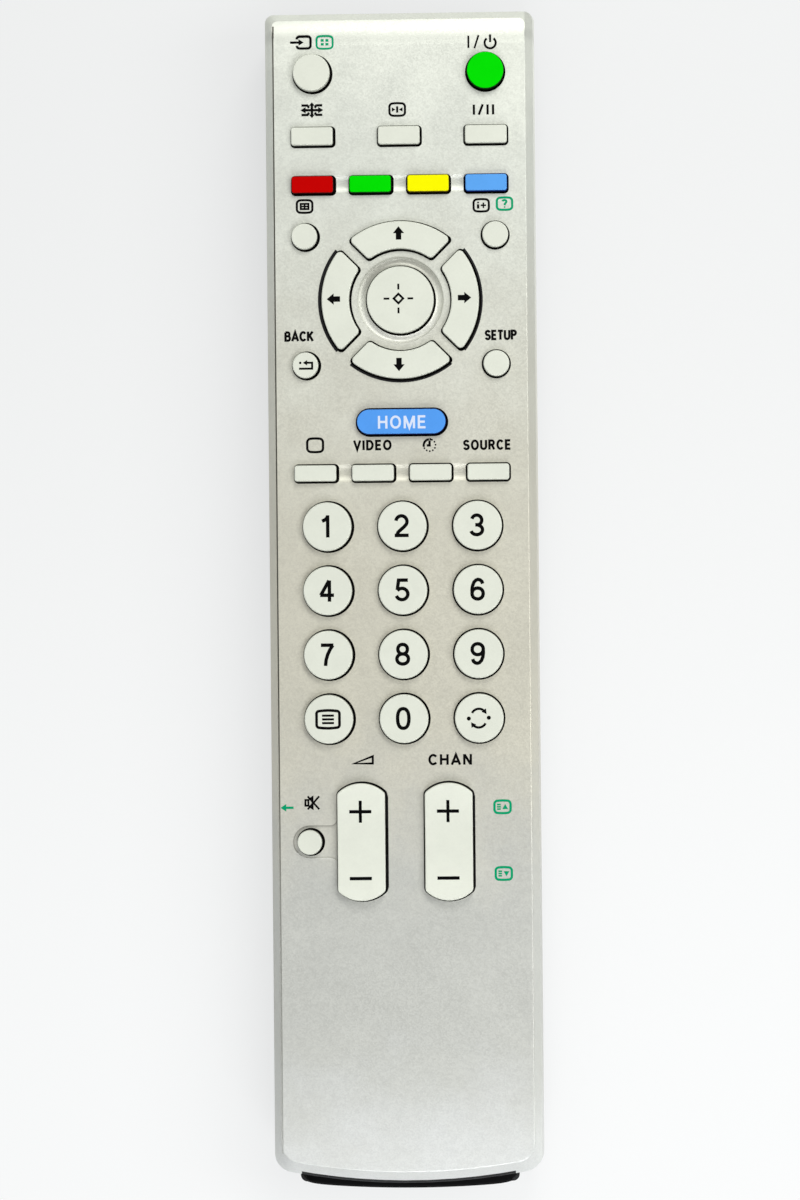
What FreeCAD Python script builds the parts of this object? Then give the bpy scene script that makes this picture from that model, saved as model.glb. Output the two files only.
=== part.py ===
"""Handheld television remote control, lying face up.

The origin is under the middle of the case, on the table. +X is to the right of the
keypad, +Y runs to the head end, which points at the television, and +Z leaves the face.
All sizes are in millimetres.
"""
import FreeCAD, Part
import math
import os

V = FreeCAD.Vector

# Case outline
CASE_LENGTH = 210.0
CASE_WIDTH = 48.2
FACE_HEIGHT = 21.0
COVER_WALL = 1.7
FACE_WALL = 1.7
FLOOR_WALL = 1.7
CAVITY_DRAFT = 0.6
SEAM_STEP = 0.12
SEAM_LIP = 1.5
LIP_WALL = 1.0
LIP_GAP = 0.45
LIP_ROOT = 0.3
DOOR_REACH = 0.9
END_SAG = 1.791
HEAD_CORNER = 1.5
TAIL_CORNER = 3.4

# Levels of the seam and of the shoulder
SEAM_HEIGHT = FACE_HEIGHT * 0.5714
SHOULDER_HEIGHT = FACE_HEIGHT - 2.6

# How far the outline draws in: at the sides, at the head end and at the tail end
SHOULDER_DRAW = (0.35, 0.6, 0.7)
FACE_DRAW = (1.65, 2.7, 3.0)
BELLY_HEIGHT = FACE_HEIGHT * 0.1905
BELLY_DRAW = (0.45, 0.6, 0.6)
FLOOR_DRAW = (1.9, 2.8, 2.6)
SHOULDER_ROUND = 1.2
FACE_ROUND = 0.3
BELLY_ROUND = 2.4
FLOOR_ROUND = 1.0

# The face rolls off towards the head end, and a fine joint line runs down its left side
ROLL_LENGTH = 3.9
ROLL_RADIUS = 12.0
ROLL_TURN = 37.0
LINE_INSET = 0.12
LINE_WIDTH = 0.25
LINE_DEPTH = 0.4

# Keys: plan sizes across the case are shares of its width
KEY_GAP = 0.3
OPENING_SHIFT = (0.09, -0.02)
OPENING_SHRINK = (0.0065, 0.0013)
FLANGE_REACH = 0.6
FLANGE_THICKNESS = 0.8
FLANGE_GAP = 0.3
KEY_TRAVEL = 0.8
KEY_EDGE = 0.22
POST_RADIUS = 1.5
POST_HOLE_GAP = 0.5
POST_END_GAP = 0.05

ROUND_KEY_RADIUS = CASE_WIDTH * 0.0679
SMALL_KEY_RADIUS = CASE_WIDTH * 0.0475
MUTE_KEY_RADIUS = CASE_WIDTH * 0.0454
DIGIT_KEY_RADIUS = CASE_WIDTH * 0.0894
BAR_KEY_WIDTH = CASE_WIDTH * 0.1535
BAR_KEY_SIZE = (BAR_KEY_WIDTH, 3.2)
COLOUR_KEY_SIZE = (BAR_KEY_WIDTH, 3.0)
WHITE_KEY_SIZE = (BAR_KEY_WIDTH, 2.85)
CORNER_OVER_EDGE = 0.05
BAR_KEY_CORNER = 2 * KEY_EDGE + CORNER_OVER_EDGE
MENU_KEY_SIZE = (CASE_WIDTH * 0.328, 4.5)
ROCKER_SIZE = (CASE_WIDTH * 0.175, CASE_LENGTH * 0.0988)
ROCKER_BOW = CASE_WIDTH * 0.1224
ROCKER_CORNER = 0.8
ROCKER_DISH = 0.5
ROCKER_TILT = 5.0
ROCKER_EAR = 2.4
ROCKER_POST_OFFSET = CASE_LENGTH / 30
ROCKER_POST_RADIUS = 1.2
PAD_OUTER_RADIUS = CASE_WIDTH * 0.2891
PAD_INNER_RADIUS = CASE_WIDTH * 0.1878
PAD_SPOKE = 2.35
PAD_CORNER = 0.8
PAD_POST_RADIUS = (PAD_OUTER_RADIUS + PAD_INNER_RADIUS) / 2
ENTER_KEY_RADIUS = CASE_WIDTH * 0.1232

ROUND_KEY_RISE = 1.4
BAR_KEY_RISE = 0.8
COLOUR_KEY_RISE = 1.1
SMALL_KEY_RISE = 1.0
PAD_RISE = 0.9
MENU_KEY_RISE = 1.2
WHITE_KEY_RISE = 1.1
DIGIT_KEY_RISE = 1.2
ROCKER_RISE = 1.6

# Columns from the middle line, as shares of the width
OUTER_COLUMN = CASE_WIDTH * 0.3195
COLOUR_PITCH = CASE_WIDTH * 0.21265
WHITE_PITCH = CASE_WIDTH * 0.2116
SMALL_COLUMN = CASE_WIDTH * 0.3506
DIGIT_COLUMN = CASE_WIDTH * 0.2759
ROCKER_COLUMN = CASE_WIDTH * 0.1606
SMALL_KEY_SPREAD = CASE_WIDTH * 0.2365

# Rows from the head end, as shares of the length
ROUND_ROW = CASE_LENGTH * 0.05476
BAR_ROW = CASE_LENGTH * 0.1081
COLOUR_ROW = CASE_LENGTH * 0.14905
PAD_ROW = CASE_LENGTH * 0.2469
MENU_ROW = CASE_LENGTH * 0.34952
WHITE_ROW = CASE_LENGTH * 0.39238
DIGIT_ROW = CASE_LENGTH * 0.43738
DIGIT_PITCH = CASE_LENGTH * 0.05405
ROCKER_ROW = CASE_LENGTH * 0.7031

# Shallow shapes pressed into the face
CHANNEL_HALF = 1.6
CHANNEL_DEPTH = 0.5
MOAT_GAP = 0.05
MOAT_HALF = 0.85
MOAT_DEPTH = 0.45
MUTE_RECESS_MARGIN = 0.7
MUTE_RECESS_DEPTH = 0.3
MUTE_RECESS_FLARE = 1.3

# Board, keypad mat and what sits on them
BOARD_DROP = 5.0
BOARD_THICKNESS = 1.2
BOARD_SIDE_GAP = 1.5
BOARD_HEAD_GAP = 3.4
BOARD_PAST_BAY = 6.5
BOARD_PAST_POST = 4.95
BOARD_ROOF_GAP = 0.8
BOARD_CORNER = 1.5
MAT_THICKNESS = 1.0
MAT_MARGIN = 0.7
COLLAR_RISE = 0.25
COLLAR_WIDTH = 0.6
PAD_DISC_RADIUS = 1.9
PAD_DISC_THICKNESS = 0.05
PEG_RADIUS = 0.9
PEG_DEPTH = 1.3
PEG_GAP = 0.2
PEG_EDGE = 2.4
SUPPORT_RADIUS = 2.2
SUPPORT_BAY_GAP = 3.35
CHIP_SIZE = (10.0, 7.5, 1.6)
CHIP_LEG = (0.35, 1.0, 0.25)
CHIP_LEG_PITCH = 1.27
CHIP_LEGS_PER_SIDE = 7
CHIP_COLUMN = CASE_WIDTH * 0.135
CHIP_ROW = CASE_LENGTH * 0.476
RESONATOR_SIZE = (6.0, 2.6, 3.6)
RESONATOR_COLUMN = -CASE_WIDTH * 0.156
RESONATOR_ROW = CASE_LENGTH * 0.4714
CAPACITOR_RADIUS = 2.6
CAPACITOR_LENGTH = 7.0
CAPACITOR_COLUMN = -CASE_WIDTH * 0.187
CAPACITOR_ROW = CASE_LENGTH * 0.6476
TRANSISTOR_SIZE = (2.9, 1.6, 1.1)
TRANSISTOR_COLUMN = CASE_WIDTH * 0.166
TRANSISTOR_ROW = CASE_LENGTH * 0.0905
RESISTOR_SIZE = (2.0, 1.25, 0.5)
RESISTOR_COLUMNS = (-CASE_WIDTH * 0.083, -CASE_WIDTH * 0.166)
LOWER_RESISTOR_COLUMN = CASE_WIDTH * 0.24
LOWER_RESISTOR_ROW = CASE_LENGTH * 0.3857

# Infrared emitter and its window
LED_RADIUS = 2.5
LED_LENGTH = 5.6
LED_RIM = 0.4
LED_LEAD = 0.5
LED_LEAD_PITCH = 2.54
LED_STANDOFF = 1.0
LED_WINDOW_GAP = 0.3
WINDOW_WIDTH = CASE_WIDTH * 0.394
WINDOW_BELOW_SEAM = 1.0
WINDOW_HEIGHT = FACE_HEIGHT * 0.257
WINDOW_GAP = 0.05
WINDOW_FLANGE = 0.8
WINDOW_FLANGE_THICKNESS = 0.8
WINDOW_SEAT = 3.0

# Cells and their bay
CELL_LENGTH = 44.5
CELL_NIB_RADIUS = 1.9
CELL_NIB_LENGTH = 0.8
CELL_SIDE_GAP = 0.5
CELL_EDGE = 0.4
CELL_SLACK = 0.35
BAY_SPARE_LENGTH = 6.0
BAY_WALL = 1.1
BAY_TAIL_WALL = 1.1
BAY_TO_TAIL = 5.2
BAY_ROOF_GAP = 0.35
BAY_ROOF = 1.0
BAY_ROOF_MARGIN = 2.6
CONTACT_THICKNESS = 0.4
CONTACT_SIDE_MARGIN = 0.25
CONTACT_END_MARGIN = 0.95
CONTACT_TAB = 3.0
CONTACT_GAP = 0.1
SPRING_WIRE = 0.5
SPRING_INSET = 2.35
SPRING_TURNS = 4

# Battery door
DOOR_RAIL_GAP = 0.25
DOOR_CLEARANCE = 0.2
DOOR_LIFT = 0.3
DOOR_THICKNESS = 1.5
DOOR_BOW = 216.0
DOOR_END_WALL = 2.6
DOOR_TONGUE = 0.6
DOOR_TONGUE_THICKNESS = 0.8
DOOR_TONGUE_ROOT = 1.5
DOOR_CORNER = 1.2
DOOR_HEAD_CORNER = 0.4
DOOR_ROUND = 0.8
DOOR_TOP_ROUND = 0.4
GRIP_COUNT = 6
GRIP_PITCH = 1.6
GRIP_RADIUS = 0.5
GRIP_LENGTH = 14.0
GRIP_FROM_EDGE = 8.0

# Two screws under the door
SCREW_BAY_GAP = 1.85
SCREW_BOARD_GAP = 2.65
SCREW_RADIUS = 1.1
SCREW_HEAD_RADIUS = 2.2
SCREW_HEAD_HEIGHT = 1.5
SCREW_END_GAP = 1.8
SCREW_RUN_GAP = 0.2
SCREW_THREAD_GAP = 0.05
SCREW_SEAT = 6.5
SCREW_HOLE_END = 0.8
SCREW_SLOT = (3.0, 0.7, 0.8)
BOSS_WALL = 1.7

# How far joined shapes run into each other, and cutting tools run past
SINK = 0.1
PAST = 1.0
EDGE_TOLERANCE = 0.02

# Places worked out from the sizes above
HEAD = CASE_LENGTH / 2
WINDOW_TOP = SEAM_HEIGHT - WINDOW_BELOW_SEAM
WINDOW_BOTTOM = WINDOW_TOP - WINDOW_HEIGHT
MUTE_RECESS_HALF = MUTE_KEY_RADIUS + MUTE_RECESS_MARGIN
MOAT_RADIUS = ENTER_KEY_RADIUS + MOAT_HALF + MOAT_GAP
RIM_TAIL = -CASE_LENGTH / 2 + DOOR_REACH
FACE_INSIDE = FACE_HEIGHT - FACE_WALL
FLANGE_TOP = FACE_INSIDE - FLANGE_GAP
FLANGE_BOTTOM = FLANGE_TOP - FLANGE_THICKNESS
BOARD_TOP = FACE_HEIGHT - BOARD_DROP
BOARD_BOTTOM = BOARD_TOP - BOARD_THICKNESS
MAT_TOP = BOARD_TOP + MAT_THICKNESS
PRESSED_POST = BOARD_TOP + PAD_DISC_THICKNESS + POST_END_GAP
POST_BOTTOM = PRESSED_POST + KEY_TRAVEL
ROCKER_POST_REACH = ROCKER_POST_OFFSET + ROCKER_POST_RADIUS
ROCKER_POST_BOTTOM = PRESSED_POST + ROCKER_POST_REACH * math.sin(math.radians(ROCKER_TILT))
DOOR_TOP = DOOR_LIFT + DOOR_THICKNESS
ROOF_TOP = BOARD_BOTTOM - BOARD_ROOF_GAP
ROOF_BOTTOM = ROOF_TOP - BAY_ROOF
CELL_RADIUS = (ROOF_BOTTOM - BAY_ROOF_GAP - DOOR_TOP - CELL_SLACK) / 2
CELL_AXIS = DOOR_TOP + CELL_SLACK + CELL_RADIUS
CELL_SPACING = 2 * CELL_RADIUS + CELL_SIDE_GAP
CONTACT_WIDTH = 2 * (CELL_RADIUS - CONTACT_SIDE_MARGIN)
CONTACT_HEIGHT = 2 * (CELL_RADIUS - CONTACT_END_MARGIN)
SPRING_RADIUS = CELL_RADIUS - SPRING_INSET
BAY_LENGTH = CELL_LENGTH + BAY_SPARE_LENGTH
BAY_TAIL = -CASE_LENGTH / 2 + BAY_TO_TAIL
BAY_HEAD = BAY_TAIL + BAY_LENGTH
BAY_HALF = CELL_SPACING / 2 + CELL_RADIUS + CELL_SLACK
DOOR_HALF = CASE_WIDTH / 2 - FLOOR_DRAW[0] - COVER_WALL - DOOR_TONGUE - DOOR_RAIL_GAP
DOOR_HEAD = BAY_HEAD + BAY_WALL - DOOR_CLEARANCE
END_BOW = (DOOR_HALF + DOOR_CLEARANCE) ** 2 / (2 * END_SAG)
PAD_CENTRE = HEAD - PAD_ROW
ROCKER_CENTRE = HEAD - ROCKER_ROW
BOARD_TAIL = min(BAY_HEAD - BOARD_PAST_BAY, ROCKER_CENTRE - ROCKER_POST_REACH - BOARD_PAST_POST)
BOARD_HALF = CASE_WIDTH / 2 - COVER_WALL - BOARD_SIDE_GAP
BOARD_HEAD = HEAD - BOARD_HEAD_GAP - COVER_WALL
BOSS_RADIUS = SCREW_RADIUS + SCREW_THREAD_GAP + BOSS_WALL
LOWER_BOSS_RADIUS = SCREW_RADIUS + SCREW_RUN_GAP + BOSS_WALL
SCREW_LENGTH = FACE_INSIDE - SCREW_SEAT - SCREW_END_GAP
SCREW_COLUMN = BAY_HALF + SCREW_BAY_GAP + BAY_WALL + SCREW_HEAD_RADIUS
SCREW_ROW = BOARD_TAIL - SCREW_BOARD_GAP - BOSS_RADIUS
PEG_OUTER_COLUMN = BOARD_HALF - PEG_EDGE
PEG_PLACES = (
    (0.0, HEAD - (ROUND_ROW + BAR_ROW) / 2),
    (-COLOUR_PITCH, HEAD - (BAR_ROW + COLOUR_ROW) / 2),
    (COLOUR_PITCH, HEAD - (BAR_ROW + COLOUR_ROW) / 2),
    (-PEG_OUTER_COLUMN, PAD_CENTRE),
    (PEG_OUTER_COLUMN, PAD_CENTRE),
    (-DIGIT_COLUMN, HEAD - (MENU_ROW + WHITE_ROW) / 2),
    (DIGIT_COLUMN, HEAD - (MENU_ROW + WHITE_ROW) / 2),
    (-DIGIT_COLUMN / 2, HEAD - DIGIT_ROW - 2.5 * DIGIT_PITCH),
    (DIGIT_COLUMN / 2, HEAD - DIGIT_ROW - 2.5 * DIGIT_PITCH),
    (0.0, BAY_HEAD + BAY_WALL + SUPPORT_RADIUS + SUPPORT_BAY_GAP),
)
CHIP_PLACE = (CHIP_COLUMN, HEAD - CHIP_ROW)
RESONATOR_PLACE = (RESONATOR_COLUMN, HEAD - RESONATOR_ROW)
CAPACITOR_PLACE = (CAPACITOR_COLUMN, HEAD - CAPACITOR_ROW)
TRANSISTOR_PLACE = (TRANSISTOR_COLUMN, HEAD - TRANSISTOR_ROW)
RESISTOR_PLACES = (
    (RESISTOR_COLUMNS[0], HEAD - TRANSISTOR_ROW),
    (RESISTOR_COLUMNS[1], HEAD - TRANSISTOR_ROW),
    (LOWER_RESISTOR_COLUMN, HEAD - LOWER_RESISTOR_ROW),
    (-LOWER_RESISTOR_COLUMN, HEAD - LOWER_RESISTOR_ROW),
)


def box(x0, x1, y0, y1, z0, z1):
    """Block between two corners."""
    return Part.makeBox(x1 - x0, y1 - y0, z1 - z0, V(x0, y0, z0))


def disc(radius, x, y, z0, z1):
    """Upright cylinder."""
    return Part.makeCylinder(radius, z1 - z0, V(x, y, z0))


def line(a, b, z):
    """Straight edge between two plan points."""
    return Part.LineSegment(V(a[0], a[1], z), V(b[0], b[1], z)).toShape()


def arc(a, middle, b, z):
    """Arc edge through three plan points."""
    return Part.Arc(V(a[0], a[1], z), V(middle[0], middle[1], z), V(b[0], b[1], z)).toShape()


def bowed_outline(half, top, tail_end, bow, head_corner, tail_corner, z):
    """Plan outline with a straight head, a bowed tail and four rounded corners."""
    diagonal = math.sqrt(0.5)
    head_x = half - head_corner
    head_y = top - head_corner
    bow_y = tail_end + bow
    tail_x = half - tail_corner
    tail_y = bow_y - math.sqrt((bow - tail_corner) ** 2 - tail_x ** 2)
    stretch = bow / (bow - tail_corner)
    end_x = tail_x * stretch
    end_y = bow_y + (tail_y - bow_y) * stretch
    half_turn = math.atan2(end_y - tail_y, end_x - tail_x) / 2
    turn_x = tail_x + tail_corner * math.cos(half_turn)
    turn_y = tail_y + tail_corner * math.sin(half_turn)
    corner_x = head_x + head_corner * diagonal
    corner_y = head_y + head_corner * diagonal
    return Part.Wire([
        line((head_x, top), (-head_x, top), z),
        arc((-head_x, top), (-corner_x, corner_y), (-half, head_y), z),
        line((-half, head_y), (-half, tail_y), z),
        arc((-half, tail_y), (-turn_x, turn_y), (-end_x, end_y), z),
        arc((-end_x, end_y), (0, tail_end), (end_x, end_y), z),
        arc((end_x, end_y), (turn_x, turn_y), (half, tail_y), z),
        line((half, tail_y), (half, head_y), z),
        arc((half, head_y), (corner_x, corner_y), (head_x, top), z),
    ])


def outline(draw, z, step=0.0):
    """Plan outline of the case at height z, drawn in at its sides, head and tail."""
    side, head, tail = draw
    half = CASE_WIDTH / 2 - side - step
    return bowed_outline(half, HEAD - head, RIM_TAIL + tail, END_BOW, HEAD_CORNER, TAIL_CORNER, z)


def drawn(draw, extra):
    """The same draw-in, moved inwards by a wall."""
    return tuple(part + extra for part in draw)


def between(lower, upper):
    """Solid between two outlines."""
    return Part.makeLoft([lower, upper], True, True)


def edges_at(shape, z):
    """Edges that lie level at height z."""
    return [
        edge for edge in shape.Edges
        if max(abs(edge.BoundBox.ZMin - z), abs(edge.BoundBox.ZMax - z)) < EDGE_TOLERANCE
    ]


def placed(shape, x, y):
    """Move a shape made at the middle to its place."""
    shape.translate(V(x, y, 0))
    return shape


def rounded_block(size, corner, grow, z0, z1):
    """Upright block with rounded corners round the origin."""
    half_x = size[0] / 2 + grow
    half_y = size[1] / 2 + grow
    block = box(-half_x, half_x, -half_y, half_y, z0, z1)
    upright = [edge for edge in block.Edges if edge.BoundBox.ZLength > (z1 - z0) / 2]
    return block.makeFillet(corner + grow, upright)


def rocker_block(grow, z0, z1):
    """Long key with bowed ends round the origin."""
    half_x = ROCKER_SIZE[0] / 2 + grow
    half_y = ROCKER_SIZE[1] / 2 + grow
    bow = ROCKER_BOW + grow
    shoulder = half_y - bow + math.sqrt(bow ** 2 - half_x ** 2)
    wire = Part.Wire([
        line((half_x, -shoulder), (half_x, shoulder), z0),
        arc((half_x, shoulder), (0, half_y), (-half_x, shoulder), z0),
        line((-half_x, shoulder), (-half_x, -shoulder), z0),
        arc((-half_x, -shoulder), (0, -half_y), (half_x, -shoulder), z0),
    ])
    block = Part.Face(wire).extrude(V(0, 0, z1 - z0))
    upright = [edge for edge in block.Edges if edge.BoundBox.ZLength > (z1 - z0) / 2]
    return block.makeFillet(ROCKER_CORNER + grow, upright)


def pad_block(turn, grow, z0, z1):
    """One quarter of the direction ring, turned about the origin."""
    ring = disc(PAD_OUTER_RADIUS + grow, 0, 0, z0, z1)
    ring = ring.cut(disc(PAD_INNER_RADIUS - grow, 0, 0, z0 - PAST, z1 + PAST))
    reach = 2 * PAD_OUTER_RADIUS
    wedge = box(PAD_SPOKE / 2 - grow, reach, PAD_SPOKE / 2 - grow, reach, z0, z1)
    quarter = ring.common(wedge)
    upright = [edge for edge in quarter.Edges if edge.BoundBox.ZLength > (z1 - z0) / 2]
    quarter = quarter.makeFillet(PAD_CORNER, upright)
    quarter.rotate(V(0, 0, 0), V(0, 0, 1), turn - 45)
    return quarter


def round_plan(radius):
    """Plan of a round key."""
    return lambda grow, z0, z1: disc(radius + grow, 0, 0, z0, z1)


def bar_plan(size, corner):
    """Plan of a bar key."""
    return lambda grow, z0, z1: rounded_block(size, corner, grow, z0, z1)


def pad_plan(turn):
    """Plan of one direction key."""
    return lambda grow, z0, z1: pad_block(turn, grow, z0, z1)


def key_list():
    """Name, plan, place, rise above the face and post places of each key that slides."""
    row = lambda from_head: HEAD - from_head
    menu_corner = MENU_KEY_SIZE[1] / 2 - 0.01
    big = round_plan(ROUND_KEY_RADIUS)
    small = round_plan(SMALL_KEY_RADIUS)
    bar = bar_plan(BAR_KEY_SIZE, BAR_KEY_CORNER)
    colour = bar_plan(COLOUR_KEY_SIZE, BAR_KEY_CORNER)
    white = bar_plan(WHITE_KEY_SIZE, BAR_KEY_CORNER)
    keys = [
        ("input_key", big, -OUTER_COLUMN, row(ROUND_ROW), ROUND_KEY_RISE),
        ("power_key", big, OUTER_COLUMN, row(ROUND_ROW), ROUND_KEY_RISE),
        ("zoom_key", bar, -OUTER_COLUMN, row(BAR_ROW), BAR_KEY_RISE),
        ("freeze_key", bar, 0.0, row(BAR_ROW), BAR_KEY_RISE),
        ("audio_key", bar, OUTER_COLUMN, row(BAR_ROW), BAR_KEY_RISE),
    ]
    for index, name in enumerate(("red_key", "green_key", "yellow_key", "blue_key")):
        keys.append((name, colour, (index - 1.5) * COLOUR_PITCH, row(COLOUR_ROW), COLOUR_KEY_RISE))
    corners = (("guide_key", -1, 1), ("info_key", 1, 1), ("back_key", -1, -1), ("setup_key", 1, -1))
    for name, side, end in corners:
        keys.append((name, small, side * SMALL_COLUMN, PAD_CENTRE + end * SMALL_KEY_SPREAD, SMALL_KEY_RISE))
    keys.append(("enter_key", round_plan(ENTER_KEY_RADIUS), 0.0, PAD_CENTRE, PAD_RISE))
    keys.append(("home_key", bar_plan(MENU_KEY_SIZE, menu_corner), 0.0, row(MENU_ROW), MENU_KEY_RISE))
    for index, name in enumerate(("screen_key", "video_key", "timer_key", "source_key")):
        keys.append((name, white, (index - 1.5) * WHITE_PITCH, row(WHITE_ROW), WHITE_KEY_RISE))
    digits = ("digit_1", "digit_2", "digit_3", "digit_4", "digit_5", "digit_6",
              "digit_7", "digit_8", "digit_9", "text", "digit_0", "swap")
    for index, name in enumerate(digits):
        x = (index % 3 - 1) * DIGIT_COLUMN
        y = row(DIGIT_ROW) - (index // 3) * DIGIT_PITCH
        keys.append((name + "_key", round_plan(DIGIT_KEY_RADIUS), x, y, DIGIT_KEY_RISE))
    keys.append(("mute_key", round_plan(MUTE_KEY_RADIUS), -SMALL_COLUMN, ROCKER_CENTRE, SMALL_KEY_RISE))
    return keys


PAD_KEYS = (("right_key", 0), ("up_key", 90), ("left_key", 180), ("down_key", 270))
ROCKERS = (("volume_rocker", -ROCKER_COLUMN), ("channel_rocker", ROCKER_COLUMN))


def post_places():
    """Centre and radius of every post that a key pushes through the mat."""
    posts = [(x, y, POST_RADIUS) for name, plan, x, y, rise in key_list()]
    for name, turn in PAD_KEYS:
        x = PAD_POST_RADIUS * math.cos(math.radians(turn))
        y = PAD_POST_RADIUS * math.sin(math.radians(turn))
        posts.append((x, PAD_CENTRE + y, POST_RADIUS))
    for name, x in ROCKERS:
        posts.append((x, ROCKER_CENTRE + ROCKER_POST_OFFSET, ROCKER_POST_RADIUS))
        posts.append((x, ROCKER_CENTRE - ROCKER_POST_OFFSET, ROCKER_POST_RADIUS))
    return posts


def make_key(plan, rise, flange_reach=FLANGE_REACH, post=(0.0, 0.0)):
    """Cap through the face, flange under it and post down to the board."""
    cap = plan(0.0, FLANGE_BOTTOM, FACE_HEIGHT + rise)
    cap = cap.makeFillet(KEY_EDGE, edges_at(cap, FACE_HEIGHT + rise))
    flange = plan(flange_reach, FLANGE_BOTTOM, FLANGE_TOP)
    stem = disc(POST_RADIUS, post[0], post[1], POST_BOTTOM, FLANGE_BOTTOM)
    return cap.fuse([flange, stem]).removeSplitter()


def make_pad_key(turn):
    """Direction key: a quarter of the ring with a narrow flange."""
    angle = math.radians(turn)
    post = (PAD_POST_RADIUS * math.cos(angle), PAD_POST_RADIUS * math.sin(angle))
    return make_key(pad_plan(turn), PAD_RISE, PAD_SPOKE / 4, post)


def make_rocker():
    """Rocking key, its top dished from end to end, with ears at its middle and two posts."""
    top = FACE_HEIGHT + ROCKER_RISE
    cap = rocker_block(0.0, FLANGE_BOTTOM, top)
    radius = ((ROCKER_SIZE[1] / 2) ** 2 + ROCKER_DISH ** 2) / (2 * ROCKER_DISH)
    half = ROCKER_SIZE[0] / 2 + FLANGE_REACH
    scoop = Part.makeCylinder(radius, 2 * half, V(-half, 0, top + radius - ROCKER_DISH), V(1, 0, 0))
    cap = cap.cut(scoop)
    rim = [edge for edge in cap.Edges if edge.BoundBox.ZMin > top - ROCKER_DISH - EDGE_TOLERANCE]
    cap = cap.makeFillet(KEY_EDGE, rim)
    ears = box(-half, half, -ROCKER_EAR, ROCKER_EAR, FLANGE_BOTTOM, FLANGE_TOP)
    posts = [
        disc(ROCKER_POST_RADIUS, 0, end * ROCKER_POST_OFFSET, ROCKER_POST_BOTTOM, FLANGE_BOTTOM)
        for end in (-1, 1)
    ]
    return cap.fuse([ears] + posts).removeSplitter()


def opening_place(x, y):
    """Middle of the opening round a key: the moulded cover shrinks a little more than the mat."""
    across = x * (1 - OPENING_SHRINK[0]) + OPENING_SHIFT[0]
    along = y * (1 - OPENING_SHRINK[1]) + OPENING_SHIFT[1]
    return across, along


def key_openings():
    """Prisms that cut the key openings through the face."""
    low = FACE_INSIDE - PAST
    high = FACE_HEIGHT + PAST
    cuts = [placed(plan(KEY_GAP, low, high), *opening_place(x, y)) for name, plan, x, y, rise in key_list()]
    for name, turn in PAD_KEYS:
        cuts.append(placed(pad_block(turn, KEY_GAP, low, high), *opening_place(0, PAD_CENTRE)))
    for name, x in ROCKERS:
        cuts.append(placed(rocker_block(KEY_GAP, low, high), *opening_place(x, ROCKER_CENTRE)))
    return cuts


def channel(row, pitch):
    """Scooped channel that joins a row of four keys."""
    radius = (CHANNEL_HALF ** 2 + CHANNEL_DEPTH ** 2) / (2 * CHANNEL_DEPTH)
    start = V(-1.5 * pitch, HEAD - row, FACE_HEIGHT + radius - CHANNEL_DEPTH)
    return Part.makeCylinder(radius, 3 * pitch, start, V(1, 0, 0))


def moat():
    """Dished ring round the middle key."""
    radius = (MOAT_HALF ** 2 + MOAT_DEPTH ** 2) / (2 * MOAT_DEPTH)
    centre = V(0, PAD_CENTRE, FACE_HEIGHT + radius - MOAT_DEPTH)
    return Part.makeTorus(MOAT_RADIUS, radius, centre)


def mute_recess():
    """Shallow tab from the mute key to the rocker beside it."""
    floor = FACE_HEIGHT - MUTE_RECESS_DEPTH
    top = FACE_HEIGHT + PAST
    mouth = -ROCKER_COLUMN - ROCKER_SIZE[0] / 2
    tab = disc(MUTE_RECESS_HALF, -SMALL_COLUMN, ROCKER_CENTRE, floor, top)
    neck = box(-SMALL_COLUMN, -ROCKER_COLUMN, ROCKER_CENTRE - MUTE_RECESS_HALF,
               ROCKER_CENTRE + MUTE_RECESS_HALF, floor, top)
    flare_reach = MUTE_RECESS_HALF + MUTE_RECESS_FLARE
    flare = box(mouth - MUTE_RECESS_FLARE, -ROCKER_COLUMN, ROCKER_CENTRE - flare_reach,
                ROCKER_CENTRE + flare_reach, floor, top)
    for end in (-1, 1):
        flare = flare.cut(disc(MUTE_RECESS_FLARE, mouth - MUTE_RECESS_FLARE,
                               ROCKER_CENTRE + end * flare_reach, floor - PAST, top + PAST))
    return tab.fuse([neck, flare]).removeSplitter()


def plate_line():
    """Fine joint line down the left side of the face plate."""
    left = -CASE_WIDTH / 2 + FACE_DRAW[0] + LINE_INSET
    tail = RIM_TAIL + FACE_DRAW[2] + TAIL_CORNER
    head = HEAD - FACE_DRAW[1] - HEAD_CORNER
    return box(left, left + LINE_WIDTH, tail, head, FACE_HEIGHT - LINE_DEPTH, FACE_HEIGHT + PAST)


def roll_profile():
    """Side profile that the face keeps under, extruded across the case."""
    start = HEAD - FACE_DRAW[1] - ROLL_LENGTH
    turn = math.radians(ROLL_TURN)
    reach = ROLL_RADIUS * math.sin(turn)
    drop = ROLL_RADIUS * (1 - math.cos(turn))
    mid_reach = ROLL_RADIUS * math.sin(turn / 2)
    mid_drop = ROLL_RADIUS * (1 - math.cos(turn / 2))
    roll_middle = V(0, start + mid_reach, FACE_HEIGHT - mid_drop)
    far = CASE_LENGTH
    roll_end = V(0, start + reach, FACE_HEIGHT - drop)
    wire = Part.Wire([
        Part.LineSegment(V(0, -far, 0), V(0, far, 0)).toShape(),
        Part.LineSegment(V(0, far, 0), V(0, far, SEAM_HEIGHT)).toShape(),
        Part.LineSegment(V(0, far, SEAM_HEIGHT), roll_end).toShape(),
        Part.Arc(roll_end, roll_middle, V(0, start, FACE_HEIGHT)).toShape(),
        Part.LineSegment(V(0, start, FACE_HEIGHT), V(0, -far, FACE_HEIGHT)).toShape(),
        Part.LineSegment(V(0, -far, FACE_HEIGHT), V(0, -far, 0)).toShape(),
    ])
    slab = Part.Face(wire).extrude(V(2 * CASE_WIDTH, 0, 0))
    return placed(slab, -CASE_WIDTH, 0)


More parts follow.
